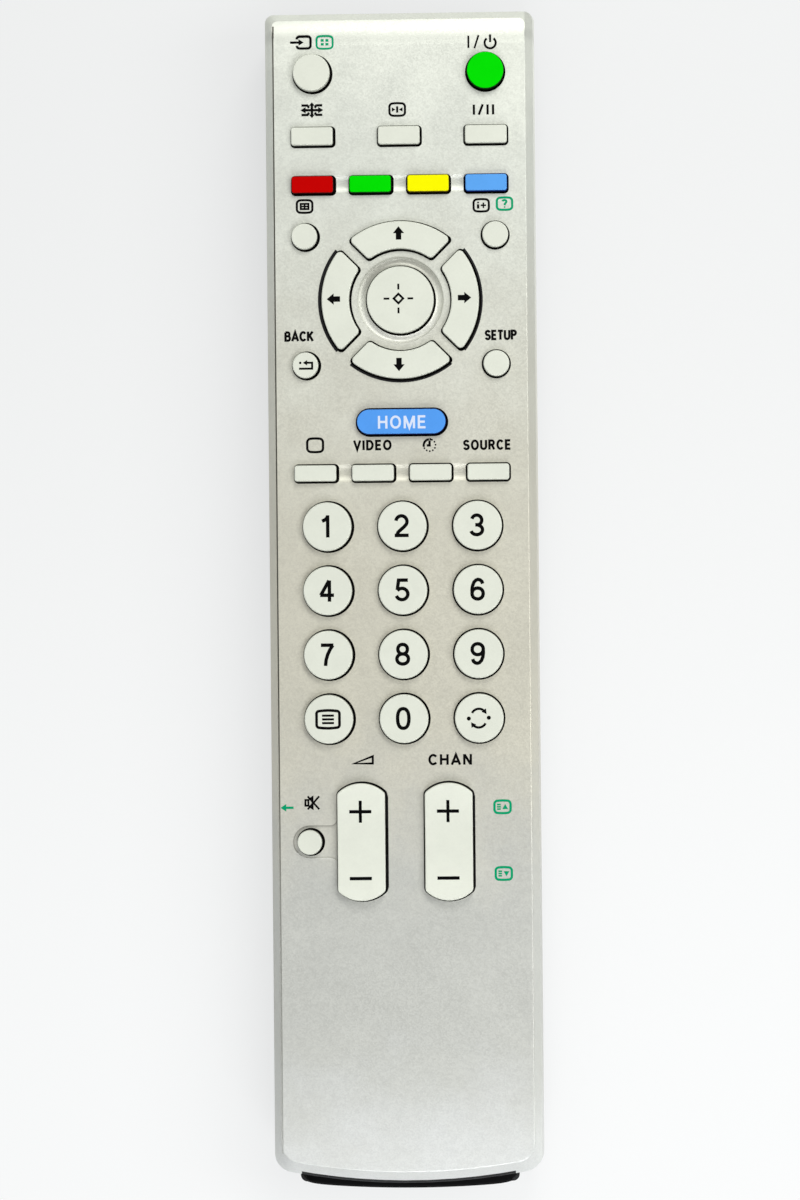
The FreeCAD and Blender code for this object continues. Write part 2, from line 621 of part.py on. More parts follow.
def top_outer():
    """Outside of the top cover, with its bevel and the roll-off at the head end."""
    seam = outline((0, 0, 0), SEAM_HEIGHT)
    shoulder = outline(SHOULDER_DRAW, SHOULDER_HEIGHT)
    face = outline(FACE_DRAW, FACE_HEIGHT)
    outer = between(seam, shoulder).fuse(between(shoulder, face)).removeSplitter()
    outer = outer.common(roll_profile()).removeSplitter()
    outer = outer.makeFillet(SHOULDER_ROUND, edges_at(outer, SHOULDER_HEIGHT))
    roll_start = HEAD - FACE_DRAW[1] - ROLL_LENGTH
    high = [edge for edge in outer.Edges if edge.BoundBox.ZMin > SHOULDER_HEIGHT + SHOULDER_ROUND]
    rim = [edge for edge in high if abs(edge.CenterOfMass.y - roll_start) > SINK]
    return outer.makeFillet(FACE_ROUND, rim)


def make_top_cover():
    """Silver cover with the key openings, the shapes in its face, pegs and screw bosses."""
    cavity_low = drawn((0, 0, 0), COVER_WALL)
    cavity_high = drawn(SHOULDER_DRAW, COVER_WALL + CAVITY_DRAFT)
    cavity = between(outline(cavity_low, SEAM_HEIGHT - 0.01), outline(cavity_high, FACE_INSIDE))
    cover = top_outer().cut(cavity)
    pegs = [disc(PEG_RADIUS, x, y, BOARD_BOTTOM - PEG_DEPTH, FACE_INSIDE + SINK) for x, y in PEG_PLACES]
    thread_radius = SCREW_RADIUS + SCREW_THREAD_GAP
    thread_end = SCREW_SEAT + SCREW_LENGTH + SCREW_HOLE_END
    bosses = []
    threads = []
    for x in (-SCREW_COLUMN, SCREW_COLUMN):
        bosses.append(disc(BOSS_RADIUS, x, SCREW_ROW, ROOF_TOP, FACE_INSIDE + SINK))
        threads.append(disc(thread_radius, x, SCREW_ROW, ROOF_TOP - PAST, thread_end))
    cover = cover.fuse(pegs + bosses)
    cuts = key_openings() + threads
    cuts += [channel(COLOUR_ROW, COLOUR_PITCH), channel(WHITE_ROW, WHITE_PITCH)]
    cuts += [moat(), mute_recess(), plate_line()]
    return cover.cut(cuts).removeSplitter()


def bottom_outer():
    """Outside of the bottom cover, a small step inside the top cover at the seam."""
    seam = outline((0, 0, 0), SEAM_HEIGHT, SEAM_STEP)
    belly = outline(BELLY_DRAW, BELLY_HEIGHT)
    floor = outline(FLOOR_DRAW, 0.0)
    outer = between(floor, belly).fuse(between(belly, seam)).removeSplitter()
    outer = outer.makeFillet(BELLY_ROUND, edges_at(outer, BELLY_HEIGHT))
    return outer.makeFillet(FLOOR_ROUND, edges_at(outer, 0.0))


def bay_walls():
    """Walls and roof round the two cells, and the screw bosses hanging from the roof."""
    roof_half = CASE_WIDTH / 2 - BAY_ROOF_MARGIN
    low = DOOR_TOP + DOOR_CLEARANCE
    tail = BAY_TAIL - BAY_TAIL_WALL
    head = BAY_HEAD + BAY_WALL
    roof = box(-roof_half, roof_half, tail, head, ROOF_BOTTOM, ROOF_TOP)
    left = box(-BAY_HALF - BAY_WALL, -BAY_HALF, tail, head, low, ROOF_TOP)
    right = box(BAY_HALF, BAY_HALF + BAY_WALL, tail, head, low, ROOF_TOP)
    tail_wall = box(-BAY_HALF, BAY_HALF, tail, BAY_TAIL, low, ROOF_TOP)
    head_wall = box(-roof_half, roof_half, BAY_HEAD, head, low, ROOF_TOP)
    inside = drawn((0, 0, 0), COVER_WALL + LIP_GAP)
    room = between(outline(inside, 0.0), outline(inside, FACE_HEIGHT))
    columns = (-SCREW_COLUMN, SCREW_COLUMN)
    bosses = [disc(LOWER_BOSS_RADIUS, x, SCREW_ROW, SCREW_SEAT, ROOF_BOTTOM) for x in columns]
    return [roof.common(room), left, right, tail_wall, head_wall] + bosses


def window_opening(grow):
    """Block for the window, or for its opening when it has grown."""
    half = WINDOW_WIDTH / 2 + grow
    return box(-half, half, HEAD - WINDOW_SEAT, HEAD + 1, WINDOW_BOTTOM - grow, WINDOW_TOP + grow)


def tab_hole(side, z0, z1):
    """Slot for the tab of one cell's terminal."""
    middle = side * CELL_SPACING / 2
    half = CONTACT_TAB / 2 + CONTACT_GAP
    tail = BAY_HEAD - CONTACT_THICKNESS - 2 * CONTACT_GAP
    return box(middle - half, middle + half, tail, BAY_HEAD, z0, z1)


def make_bottom_cover():
    """Dark cover with the cell bay, board supports and a lip inside the top cover."""
    inside_floor = outline(drawn(FLOOR_DRAW, COVER_WALL), FLOOR_WALL)
    inside_belly = outline(drawn(BELLY_DRAW, COVER_WALL), BELLY_HEIGHT + FLOOR_WALL)
    inside_seam = outline(drawn((0, 0, 0), COVER_WALL), SEAM_HEIGHT + 0.01)
    cavity = between(inside_floor, inside_belly).fuse(between(inside_belly, inside_seam))
    cover = bottom_outer().cut(cavity)
    lip_low = SEAM_HEIGHT - SEAM_LIP
    lip_high = SEAM_HEIGHT + SEAM_LIP
    lip_out = drawn((0, 0, 0), COVER_WALL + LIP_GAP)
    lip_in = drawn(lip_out, LIP_WALL)
    lip = between(outline(lip_out, lip_low), outline(lip_out, lip_high))
    lip = lip.cut(between(outline(lip_in, lip_low - PAST), outline(lip_in, lip_high + PAST)))
    lip_root = drawn((0, 0, 0), COVER_WALL - LIP_ROOT)
    root_ring = between(outline(lip_root, lip_low), outline(lip_in, SEAM_HEIGHT))
    root_ring = root_ring.cut(between(outline(lip_in, lip_low - PAST), outline(lip_in, lip_high)))
    supports = [disc(SUPPORT_RADIUS, x, y, FLOOR_WALL - SINK, BOARD_BOTTOM) for x, y in PEG_PLACES]
    cover = cover.fuse([lip, root_ring] + bay_walls() + supports)
    opening = DOOR_HALF + DOOR_CLEARANCE
    tongue = DOOR_HALF + DOOR_TONGUE + DOOR_CLEARANCE
    tongue_root = DOOR_HALF - DOOR_TONGUE_ROOT - DOOR_CLEARANCE
    tongue_top = DOOR_TOP + DOOR_TONGUE_THICKNESS + DOOR_CLEARANCE
    tongue_head = BAY_TAIL + 2 * TAIL_CORNER
    past = -CASE_LENGTH
    door_slot = box(-opening, opening, past, DOOR_HEAD + DOOR_CLEARANCE, -PAST, DOOR_TOP + DOOR_CLEARANCE)
    left_slot = box(-tongue, -tongue_root, past, tongue_head, DOOR_TOP - SINK, tongue_top)
    right_slot = box(tongue_root, tongue, past, tongue_head, DOOR_TOP - SINK, tongue_top)
    end_inside = -CASE_LENGTH / 2 + DOOR_END_WALL + DOOR_CLEARANCE
    end_slot = box(-opening, opening, past, end_inside, -PAST, SEAM_HEIGHT + SEAM_LIP + PAST)
    peg_low = BOARD_BOTTOM - PEG_DEPTH - PAST
    peg_holes = [disc(PEG_RADIUS + PEG_GAP, x, y, peg_low, BOARD_BOTTOM + PAST) for x, y in PEG_PLACES]
    run = SCREW_RADIUS + SCREW_RUN_GAP
    screw_holes = [
        disc(run, x, SCREW_ROW, SCREW_SEAT - PAST, ROOF_TOP + PAST) for x in (-SCREW_COLUMN, SCREW_COLUMN)
    ]
    tab_holes = [tab_hole(side, ROOF_BOTTOM - PAST, ROOF_TOP + PAST) for side in (-1, 1)]
    cuts = [door_slot, left_slot, right_slot, end_slot, window_opening(WINDOW_GAP)]
    return cover.cut(cuts + peg_holes + screw_holes + tab_holes).removeSplitter()


def door_outline(draw, z):
    """Plan outline of the door, its tail end drawn in."""
    tail = -CASE_LENGTH / 2 + draw
    return bowed_outline(DOOR_HALF, DOOR_HEAD, tail, DOOR_BOW, DOOR_HEAD_CORNER, DOOR_CORNER, z)


def make_battery_door():
    """Sliding door: a plate with side tongues and an end wall that closes the tail."""
    end_y = -CASE_LENGTH / 2
    inside_y = end_y + DOOR_END_WALL
    top = SEAM_HEIGHT - DOOR_CLEARANCE
    seam = door_outline(0.0, top)
    belly = door_outline(BELLY_DRAW[2], BELLY_HEIGHT)
    floor = door_outline(FLOOR_DRAW[2], DOOR_LIFT)
    block = between(floor, belly).fuse(between(belly, seam)).removeSplitter()
    for height, radius in ((BELLY_HEIGHT, BELLY_ROUND), (top, DOOR_TOP_ROUND), (DOOR_LIFT, DOOR_ROUND)):
        ends = [edge for edge in edges_at(block, height) if edge.BoundBox.YMax < inside_y + DOOR_END_WALL]
        block = block.makeFillet(radius, ends)
    door = block.cut(box(-CASE_WIDTH, CASE_WIDTH, inside_y, HEAD, DOOR_TOP, FACE_HEIGHT))
    tail = inside_y - SINK
    head = DOOR_HEAD - 2 * DOOR_TONGUE
    low = DOOR_TOP + DOOR_CLEARANCE
    high = DOOR_TOP + DOOR_TONGUE_THICKNESS
    root = DOOR_HALF - DOOR_TONGUE_ROOT
    reach = DOOR_HALF + DOOR_TONGUE
    tongues = [
        box(-reach, -root, tail, head, low, high),
        box(root, reach, tail, head, low, high),
        box(-DOOR_HALF, -root, tail, head, DOOR_TOP - SINK, low + SINK),
        box(root, DOOR_HALF, tail, head, DOOR_TOP - SINK, low + SINK),
    ]
    door = door.fuse(tongues)
    grips = []
    for index in range(GRIP_COUNT):
        y = end_y + GRIP_FROM_EDGE + index * GRIP_PITCH
        start = V(-GRIP_LENGTH / 2, y, DOOR_LIFT)
        grips.append(Part.makeCylinder(GRIP_RADIUS, GRIP_LENGTH, start, V(1, 0, 0)))
    return door.cut(grips).removeSplitter()


def board_plan(margin, z0, z1):
    """Board outline, drawn in by a margin, as a block with rounded corners."""
    size = (2 * (BOARD_HALF - margin), BOARD_HEAD - BOARD_TAIL - 2 * margin)
    block = rounded_block(size, BOARD_CORNER, 0.0, z0, z1)
    return placed(block, 0, (BOARD_HEAD + BOARD_TAIL) / 2)


def make_circuit_board():
    """Board with holes for the pegs, the emitter's leads and the contact tabs."""
    board = board_plan(0.0, BOARD_BOTTOM, BOARD_TOP)
    low = BOARD_BOTTOM - PAST
    high = BOARD_TOP + PAST
    cuts = [disc(PEG_RADIUS + PEG_GAP, x, y, low, high) for x, y in PEG_PLACES]
    cuts += [tab_hole(side, low, high) for side in (-1, 1)]
    return board.cut(cuts)


def make_keypad_mat():
    """Rubber mat with a collared hole for every post."""
    mat = board_plan(MAT_MARGIN, BOARD_TOP, MAT_TOP)
    collars = []
    holes = [disc(PEG_RADIUS + PEG_GAP, x, y, BOARD_TOP - PAST, MAT_TOP + PAST) for x, y in PEG_PLACES]
    for x, y, radius in post_places():
        bore = radius + POST_HOLE_GAP
        collars.append(disc(bore + COLLAR_WIDTH, x, y, BOARD_TOP + SINK, MAT_TOP + COLLAR_RISE))
        holes.append(disc(bore, x, y, BOARD_TOP - PAST, MAT_TOP + PAST))
    return mat.fuse(collars).cut(holes).removeSplitter()


def make_contact_pads():
    """Printed pads on the board, one under each post."""
    top = BOARD_TOP + PAD_DISC_THICKNESS
    return [disc(min(PAD_DISC_RADIUS, radius + POST_HOLE_GAP - POST_END_GAP), x, y, BOARD_TOP, top)
            for x, y, radius in post_places()]


def under_board(size, place):
    """Block hanging from the underside of the board."""
    x, y = place
    return box(x - size[0] / 2, x + size[0] / 2, y - size[1] / 2, y + size[1] / 2,
               BOARD_BOTTOM - size[2], BOARD_BOTTOM)


def make_chip():
    """Controller chip with gull-wing legs down both sides."""
    body = under_board(CHIP_SIZE, CHIP_PLACE)
    x0, y0 = CHIP_PLACE
    legs = []
    first = x0 - (CHIP_LEGS_PER_SIDE - 1) * CHIP_LEG_PITCH / 2
    for side in (-1, 1):
        for index in range(CHIP_LEGS_PER_SIDE):
            x = first + index * CHIP_LEG_PITCH
            inner = y0 + side * (CHIP_SIZE[1] / 2 - 0.2)
            outer = y0 + side * (CHIP_SIZE[1] / 2 + CHIP_LEG[1])
            legs.append(box(x - CHIP_LEG[0] / 2, x + CHIP_LEG[0] / 2, min(inner, outer), max(inner, outer),
                            BOARD_BOTTOM - CHIP_LEG[2], BOARD_BOTTOM))
    return body.fuse(legs).removeSplitter()


def make_resonator():
    """Two-legged ceramic resonator."""
    body = under_board(RESONATOR_SIZE, RESONATOR_PLACE)
    upright = [edge for edge in body.Edges if edge.BoundBox.ZLength > 1]
    return body.makeFillet(0.8, upright)


def make_capacitor():
    """Electrolytic capacitor lying along the board."""
    x, y = CAPACITOR_PLACE
    start = V(x, y - CAPACITOR_LENGTH / 2, BOARD_BOTTOM - CAPACITOR_RADIUS)
    can = Part.makeCylinder(CAPACITOR_RADIUS, CAPACITOR_LENGTH, start, V(0, 1, 0))
    return can.makeFillet(0.4, [edge for edge in can.Edges if edge.BoundBox.YLength < 0.01])


def make_ir_led():
    """Infrared emitter under the board's head edge, with two bent leads."""
    axis_z = (WINDOW_BOTTOM + WINDOW_TOP) / 2
    base_y = HEAD - WINDOW_SEAT - WINDOW_FLANGE_THICKNESS - LED_WINDOW_GAP - LED_LENGTH
    barrel = Part.makeCylinder(LED_RADIUS, LED_LENGTH - LED_RADIUS, V(0, base_y, axis_z), V(0, 1, 0))
    nose = Part.makeSphere(LED_RADIUS, V(0, base_y + LED_LENGTH - LED_RADIUS, axis_z))
    rim = Part.makeCylinder(LED_RADIUS + LED_RIM, 1.0, V(0, base_y, axis_z), V(0, 1, 0))
    parts = [nose, rim]
    half = LED_LEAD / 2
    for side in (-1, 1):
        x = side * LED_LEAD_PITCH / 2
        back = base_y - LED_STANDOFF
        parts.append(box(x - half, x + half, back - LED_LEAD, base_y + 0.1, axis_z - half, axis_z + half))
        parts.append(box(x - half, x + half, back - LED_LEAD, back, axis_z - half, BOARD_BOTTOM))
    return barrel.fuse(parts).removeSplitter()


def make_ir_window():
    """Dark window, flush with the head end, with a flange behind the wall."""
    plug = bottom_outer().common(window_opening(0.0))
    wall_inside = HEAD - WINDOW_SEAT
    half = WINDOW_WIDTH / 2 + WINDOW_FLANGE
    flange = box(-half, half, wall_inside - WINDOW_FLANGE_THICKNESS, wall_inside,
                 WINDOW_BOTTOM - WINDOW_FLANGE, WINDOW_TOP - WINDOW_FLANGE)
    return plug.fuse(flange).removeSplitter()


def make_cell(side):
    """Small round cell lying along the bay, its nib to the head on the left side."""
    if side < 0:
        nib_end = BAY_HEAD - CONTACT_THICKNESS - CONTACT_GAP
        direction = -1
    else:
        nib_end = BAY_TAIL + CONTACT_THICKNESS + CONTACT_GAP
        direction = 1
    x = side * CELL_SPACING / 2
    nib = Part.makeCylinder(CELL_NIB_RADIUS, CELL_NIB_LENGTH, V(x, nib_end, CELL_AXIS), V(0, direction, 0))
    start = V(x, nib_end + direction * CELL_NIB_LENGTH, CELL_AXIS)
    can = Part.makeCylinder(CELL_RADIUS, CELL_LENGTH - CELL_NIB_LENGTH, start, V(0, direction, 0))
    can = can.makeFillet(CELL_EDGE, [edge for edge in can.Edges if edge.BoundBox.YLength < 0.01])
    return can.fuse(nib).removeSplitter()


def spring(side):
    """Coil spring behind a cell's flat end."""
    room = BAY_LENGTH - CELL_LENGTH - 2 * CONTACT_THICKNESS - CONTACT_GAP
    height = room - SPRING_WIRE - 4 * CONTACT_GAP
    helix = Part.makeHelix(height / SPRING_TURNS, height, SPRING_RADIUS)
    section = Part.Wire([Part.makeCircle(SPRING_WIRE / 2, V(SPRING_RADIUS, 0, 0), V(0, 1, 0))])
    coil = Part.Wire(helix.Edges).makePipeShell([section], True, True)
    coil.rotate(V(0, 0, 0), V(1, 0, 0), -90)
    if side < 0:
        start = BAY_TAIL + CONTACT_THICKNESS + CONTACT_GAP + SPRING_WIRE / 2
    else:
        start = BAY_HEAD - CONTACT_THICKNESS - CONTACT_GAP - SPRING_WIRE / 2 - height
    coil.translate(V(side * CELL_SPACING / 2, start, CELL_AXIS))
    return coil


def contact_plate(x0, x1, y0):
    """Flat contact plate across the bay."""
    low = CELL_AXIS - CONTACT_HEIGHT / 2
    return box(x0, x1, y0, y0 + CONTACT_THICKNESS, low, low + CONTACT_HEIGHT)


def make_link_contact():
    """Plate that joins both cells at the tail end of the bay."""
    half = CELL_SPACING / 2 + CONTACT_WIDTH / 2
    return contact_plate(-half, half, BAY_TAIL)


def make_terminal(side):
    """Plate at the head end of the bay with a tab up to the board."""
    middle = side * CELL_SPACING / 2
    y0 = BAY_HEAD - CONTACT_THICKNESS
    plate = contact_plate(middle - CONTACT_WIDTH / 2, middle + CONTACT_WIDTH / 2, y0)
    tab = box(middle - CONTACT_TAB / 2, middle + CONTACT_TAB / 2, y0, y0 + CONTACT_THICKNESS,
              CELL_AXIS, BOARD_BOTTOM + BOARD_THICKNESS / 2)
    return plate.fuse(tab).removeSplitter()


def make_screw(side):
    """Cheese-head screw, head down, in its boss."""
    x = side * SCREW_COLUMN
    head = disc(SCREW_HEAD_RADIUS, x, SCREW_ROW, SCREW_SEAT - SCREW_HEAD_HEIGHT, SCREW_SEAT)
    shank = disc(SCREW_RADIUS, x, SCREW_ROW, SCREW_SEAT, SCREW_SEAT + SCREW_LENGTH)
    length, width, depth = SCREW_SLOT
    low = SCREW_SEAT - SCREW_HEAD_HEIGHT
    slots = [
        box(-across / 2, across / 2, -along / 2, along / 2, low - PAST, low + depth)
        for across, along in ((width, length), (length, width))
    ]
    slots = [placed(slot, x, SCREW_ROW) for slot in slots]
    return head.fuse(shank).removeSplitter().cut(slots)


def write(name, shapes):
    """Write one node as a STEP file."""
    solids = shapes if isinstance(shapes, list) else [shapes]
    found = [solid for shape in solids for solid in shape.Solids]
    for solid in found:
        if not solid.isValid():
            raise RuntimeError(name + " is not a valid solid")
    shape = found[0] if len(found) == 1 else Part.makeCompound(found)
    shape.exportStep("parts/" + name + ".step")
    print(name, len(found), "solid(s)", round(sum(solid.Volume for solid in found), 2), "mm3")


def main():
    """Build and write every node."""
    os.makedirs("parts", exist_ok=True)
    write("top_cover", make_top_cover())
    write("bottom_cover", make_bottom_cover())
    write("battery_door", make_battery_door())
    write("circuit_board", make_circuit_board())
    write("keypad_mat", make_keypad_mat())
    write("contact_pads", make_contact_pads())
    write("controller_chip", make_chip())
    write("resonator", make_resonator())
    write("capacitor", make_capacitor())
    write("led_transistor", under_board(TRANSISTOR_SIZE, TRANSISTOR_PLACE))
    write("resistors", [under_board(RESISTOR_SIZE, place) for place in RESISTOR_PLACES])
    write("ir_led", make_ir_led())
    write("ir_window", make_ir_window())
    write("left_cell", make_cell(-1))
    write("right_cell", make_cell(1))
    write("cell_springs", [spring(-1), spring(1)])
    write("link_contact", make_link_contact())
    write("terminals", [make_terminal(-1), make_terminal(1)])
    write("case_screws", [make_screw(-1), make_screw(1)])
    for name, plan, x, y, rise in key_list():
        write(name, placed(make_key(plan, rise), x, y))
    for name, turn in PAD_KEYS:
        write(name, placed(make_pad_key(turn), 0, PAD_CENTRE))
    for name, x in ROCKERS:
        write(name, placed(make_rocker(), x, ROCKER_CENTRE))


main()
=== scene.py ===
"""Looks of a handheld television remote control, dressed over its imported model.

Lengths in the print tables are millimetres on the face: x to the right, y to the head end,
z out of the face. Everything made here is in metres.
"""
import math

import bpy
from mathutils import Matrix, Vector


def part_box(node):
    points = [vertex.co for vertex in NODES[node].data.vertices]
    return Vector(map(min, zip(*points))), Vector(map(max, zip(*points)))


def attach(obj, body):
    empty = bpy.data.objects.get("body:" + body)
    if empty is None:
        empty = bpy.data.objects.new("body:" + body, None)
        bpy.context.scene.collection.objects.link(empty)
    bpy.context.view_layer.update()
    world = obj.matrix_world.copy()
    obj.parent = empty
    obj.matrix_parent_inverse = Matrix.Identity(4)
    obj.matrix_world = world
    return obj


bl_info = {
    "name": "Remote control looks",
    "version": (1, 0, 0),
    "blender": (4, 5, 0),
    "location": "View3D > Sidebar > Remote",
    "description": "Finishes, prints and studio for a television remote control",
    "category": "Object",
}

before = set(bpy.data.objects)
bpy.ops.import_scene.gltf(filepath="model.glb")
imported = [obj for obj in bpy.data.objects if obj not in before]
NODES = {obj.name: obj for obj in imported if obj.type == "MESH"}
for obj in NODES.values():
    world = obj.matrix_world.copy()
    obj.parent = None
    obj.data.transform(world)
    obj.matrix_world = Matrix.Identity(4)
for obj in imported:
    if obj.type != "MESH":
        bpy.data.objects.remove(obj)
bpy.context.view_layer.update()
MM = 0.001
FACE_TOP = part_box("top_cover")[1].z

ROCKERS = ("volume_rocker", "channel_rocker")
DIGIT_KEYS = tuple("digit_%d_key" % digit for digit in range(10))

# Joint line, painted dark inside as painted shade: from the cover's left side to the line's sides, from the
# cover's ends to its ends, and its depth
LINE_LEFT = 0.00172
LINE_RIGHT = 0.00208
LINE_TAIL = 0.0063
LINE_HEAD = 0.003
LINE_DEPTH = 0.00009

# Bare inside of the top cover: how far in from its sides, tail and head it starts, and how far below its top
INSIDE_SIDE = 0.0032
INSIDE_TAIL = 0.0072
INSIDE_HEAD = 0.0065
INSIDE_DEPTH = 0.00052

# Recess round the mute key: its middle and half width, where it meets the rocker, its flare there,
# half the width of its edge of painted shade and painted highlight, and how far below its middle the edge
# turns from painted shade to painted highlight
RECESS_X = -0.016899
RECESS_Y = -0.042651
RECESS_HALF = 0.002888
MOUTH = -0.011958
FLARE = 0.0013
RECESS_EDGE = 0.00009
RECESS_LIGHT = 0.0019

# How far out an opening's middle is, as a share of its key's
OPENING_SHARE = 0.9935

# Line of painted shade beside a rocker: how far it lies from the opening's middle, its width, half length and
# faded end
ROCKER_REACH = 0.00458
ROCKER_LINE = 0.00015
ROCKER_HALF = 0.0079
ROCKER_FADE = 0.0006

# Dark paint over the middle of the end wall at the tail: its half width, its top, and how far into the cover
# it is painted
PANEL_HALF = 0.0190
PANEL_TOP = 0.01905
PANEL_DEPTH = 0.0045

# How far past their caps the direction keys' flanges reach, and where their dark outline of painted shade
# starts and ends
KEY_FLANGE = 0.0006
OUTLINE_START = 0.0001
OUTLINE_END = 0.00068

# Dark strip at the tail end: its steps across, its gap over the battery door, how square its ends are,
# how far they draw in as a share of how proud it is, and how high they are as a share of its height
STRIP_STEPS = 40
STRIP_GAP = 0.0001
STRIP_SQUARE = 14
STRIP_DRAWN_IN = 1.4
STRIP_END_HEIGHT = 0.55

# In millimetres: how far the digits, and across the case the rockers' signs, are printed off the middle
SHIFT_X = -0.12
SHIFT_Y = 0.05

# In millimetres: height of the digits, and the width of their line as a share of it
DIGIT_HEIGHT = 3.92
DIGIT_WEIGHT = 0.158

# In millimetres: each shape of a print lies this much above the one before
LAYER = 0.0015

# In millimetres: plus and minus from a rocker's middle, their half width, the widths of their bars
# and of the plus's upright, and their rise over the rocker's surface
PLUS_Y = 5.4
MINUS_Y = -6.4
SIGN_HALF = 1.95
BAR_WIDTH = 0.58
UPRIGHT_WIDTH = 0.54
ROCKER_INK_RISE = 0.012

# In millimetres: from the door's head end to its arrow, how deep the arrow is rooted, and its full height
ARROW_INSET = 16.0
ARROW_ROOT = 0.05
ARROW_HEIGHT = 0.28

# Colour of the light painted on an edge
EDGE_LIGHT = (0.96, 0.96, 0.92)


def srgb(red, green, blue):
    """Linear colour of a screen colour given in 0 to 255."""
    def one(part):
        part = part / 255
        return part / 12.92 if part <= 0.04045 else ((part + 0.055) / 1.055) ** 2.4
    return (one(red), one(green), one(blue))


def colour_prop(name, description, *screen):
    """Colour property whose default is a screen colour."""
    return bpy.props.FloatVectorProperty(
        name=name, description=description, subtype="COLOR", size=3, min=0.0, max=1.0, default=srgb(*screen))


def length_prop(name, description, default):
    """Length property in metres."""
    return bpy.props.FloatProperty(
        name=name, description=description, default=default, min=0.0, precision=6, unit="LENGTH")


def share_prop(name, description, default):
    """Number from 0 to 1."""
    return bpy.props.FloatProperty(
        name=name, description=description, default=default, min=0.0, max=1.0, subtype="FACTOR")


def power_prop(name, description, default):
    """Strength of a light."""
    return bpy.props.FloatProperty(name=name, description=description, default=default, min=0.0)


class CaseLooks(bpy.types.PropertyGroup):
    """Paint and plastic of the case."""
    # The paint tones from head to tail are partly the paint's own tint and partly painted light and shade:
    # lighter at the head and tail, darker round the digit keys and below the rockers.
    head: colour_prop("Head paint", "Colour of the paint at the head end", 241, 244, 233)
    silver: colour_prop("Silver paint", "Colour of the paint round the coloured keys", 231, 234, 224)
    shaded_middle: colour_prop("Shaded middle paint", "Colour of the paint round the digit keys", 219, 216, 200)
    lower: colour_prop("Lower paint", "Colour of the paint below the rockers", 211, 212, 205)
    tail: colour_prop("Tail paint", "Colour of the paint at the tail end", 239, 241, 238)
    flake: length_prop("Flake size", "Size of the grains in the silver paint", 0.00022)
    metal: share_prop("Metal share", "How metallic the silver paint looks", 0.28)
    gloss: share_prop("Paint roughness", "Roughness of the silver paint", 0.42)
    dark: colour_prop("Dark plastic", "Colour of the bottom cover and the door", 20, 20, 22)


class StripLooks(bpy.types.PropertyGroup):
    """Dark strip at the tail end."""
    half: length_prop("Half width", "Half the width of the strip", 0.0193)
    height: length_prop("Height", "Height of the strip", 0.0034)
    inset: length_prop("Inset", "How far its middle reaches in under the silver edge", 0.0012)
    flat: length_prop("Flat", "Size of the flats on its outer edges", 0.00042)
    proud: length_prop("Proud", "How far the strip stands out past the silver edge", 0.0007)
    bow: length_prop("Bow", "Radius of its outer edge", 0.200)
    inner_bow: length_prop("Inner bow", "Radius of its inner edge", 0.110)


class KeyLooks(bpy.types.PropertyGroup):
    """Colours of the keys."""
    cream: colour_prop("Cream", "Colour of the plain keys", 229, 232, 219)
    green: colour_prop("Green", "Colour of the green keys", 0, 224, 0)
    red: colour_prop("Red", "Colour of the red key", 197, 0, 0)
    yellow: colour_prop("Yellow", "Colour of the yellow key", 255, 250, 0)
    blue: colour_prop("Blue", "Colour of the blue bar key", 96, 168, 243)
    home: colour_prop("Home blue", "Colour of the long key", 88, 160, 244)


class PrintLooks(bpy.types.PropertyGroup):
    """Inks of the legends."""
    black: colour_prop("Black ink", "Colour of most legends", 4, 4, 4)
    green: colour_prop("Green ink", "Colour of the second legends", 0, 158, 108)
    white: colour_prop("White ink", "Colour of the word on the long key", 221, 231, 250)
    height: length_prop("Ink height", "How far the ink stands above the surface", 0.000014)


class StudioLooks(bpy.types.PropertyGroup):
    """Floor and lights."""
    floor: colour_prop("Floor", "Colour of the floor", 244, 245, 245)
    plain: share_prop("Plain share", "How much of the floor shows its plain colour whatever the light", 0.75)
    lamp: power_prop("Main lamp", "Power of the lamp at the head end", 1.7)
    side_lamp: power_prop("Side lamp", "Power of the lamp at the right", 0.95)
    tail_lamp: power_prop("Tail lamp", "Power of the lamp past the tail end", 0.92)
    sky: power_prop("Room light", "Brightness of the room round the object", 0.29)


class Value:
    """Output of a shader node that takes part in plain arithmetic."""

    def __init__(self, nodes, socket):
        self.nodes = nodes
        self.socket = socket

    def maths(self, operation, *values):
        """One Math node over these values, or over this one alone."""
        inputs = dict(enumerate(values or (self,)))
        return self.nodes.node("ShaderNodeMath", {"operation": operation}, inputs)

    def __add__(self, other):
        return self.maths("ADD", self, other)

    __radd__ = __add__

    def __sub__(self, other):
        return self.maths("SUBTRACT", self, other)

    def __rsub__(self, other):
        return self.maths("SUBTRACT", other, self)

    def __mul__(self, other):
        return self.maths("MULTIPLY", self, other)

    __rmul__ = __mul__

    def __gt__(self, other):
        return self.maths("GREATER_THAN", self, other)

    def __lt__(self, other):
        return self.maths("LESS_THAN", self, other)

    def within(self, low, high):
        """1 between two levels."""
        return (self > low) * (self < high)


class Nodes:
    """Node tree of a material or of the room."""

    def __init__(self, owner):
        owner.use_nodes = True
        self.owner = owner
        self.tree = owner.node_tree
        self.tree.nodes.clear()

    def node(self, kind, settings, inputs, output=0):
        """Add a node, set it up, feed its sockets and give one of its outputs."""
        made = self.tree.nodes.new(kind)
        for name, setting in settings.items():
            setattr(made, name, setting)
        for name, value in inputs.items():
            if isinstance(value, Value):
                self.tree.links.new(value.socket, made.inputs[name])
            else:
                made.inputs[name].default_value = value
        return Value(self, made.outputs[output])

    def output(self, shader, kind="ShaderNodeOutputMaterial"):
        """Feed a shader to the output, and give what the tree belongs to."""
        output = self.tree.nodes.new(kind)
        self.tree.links.new(shader.socket, output.inputs["Surface"])
        return self.owner


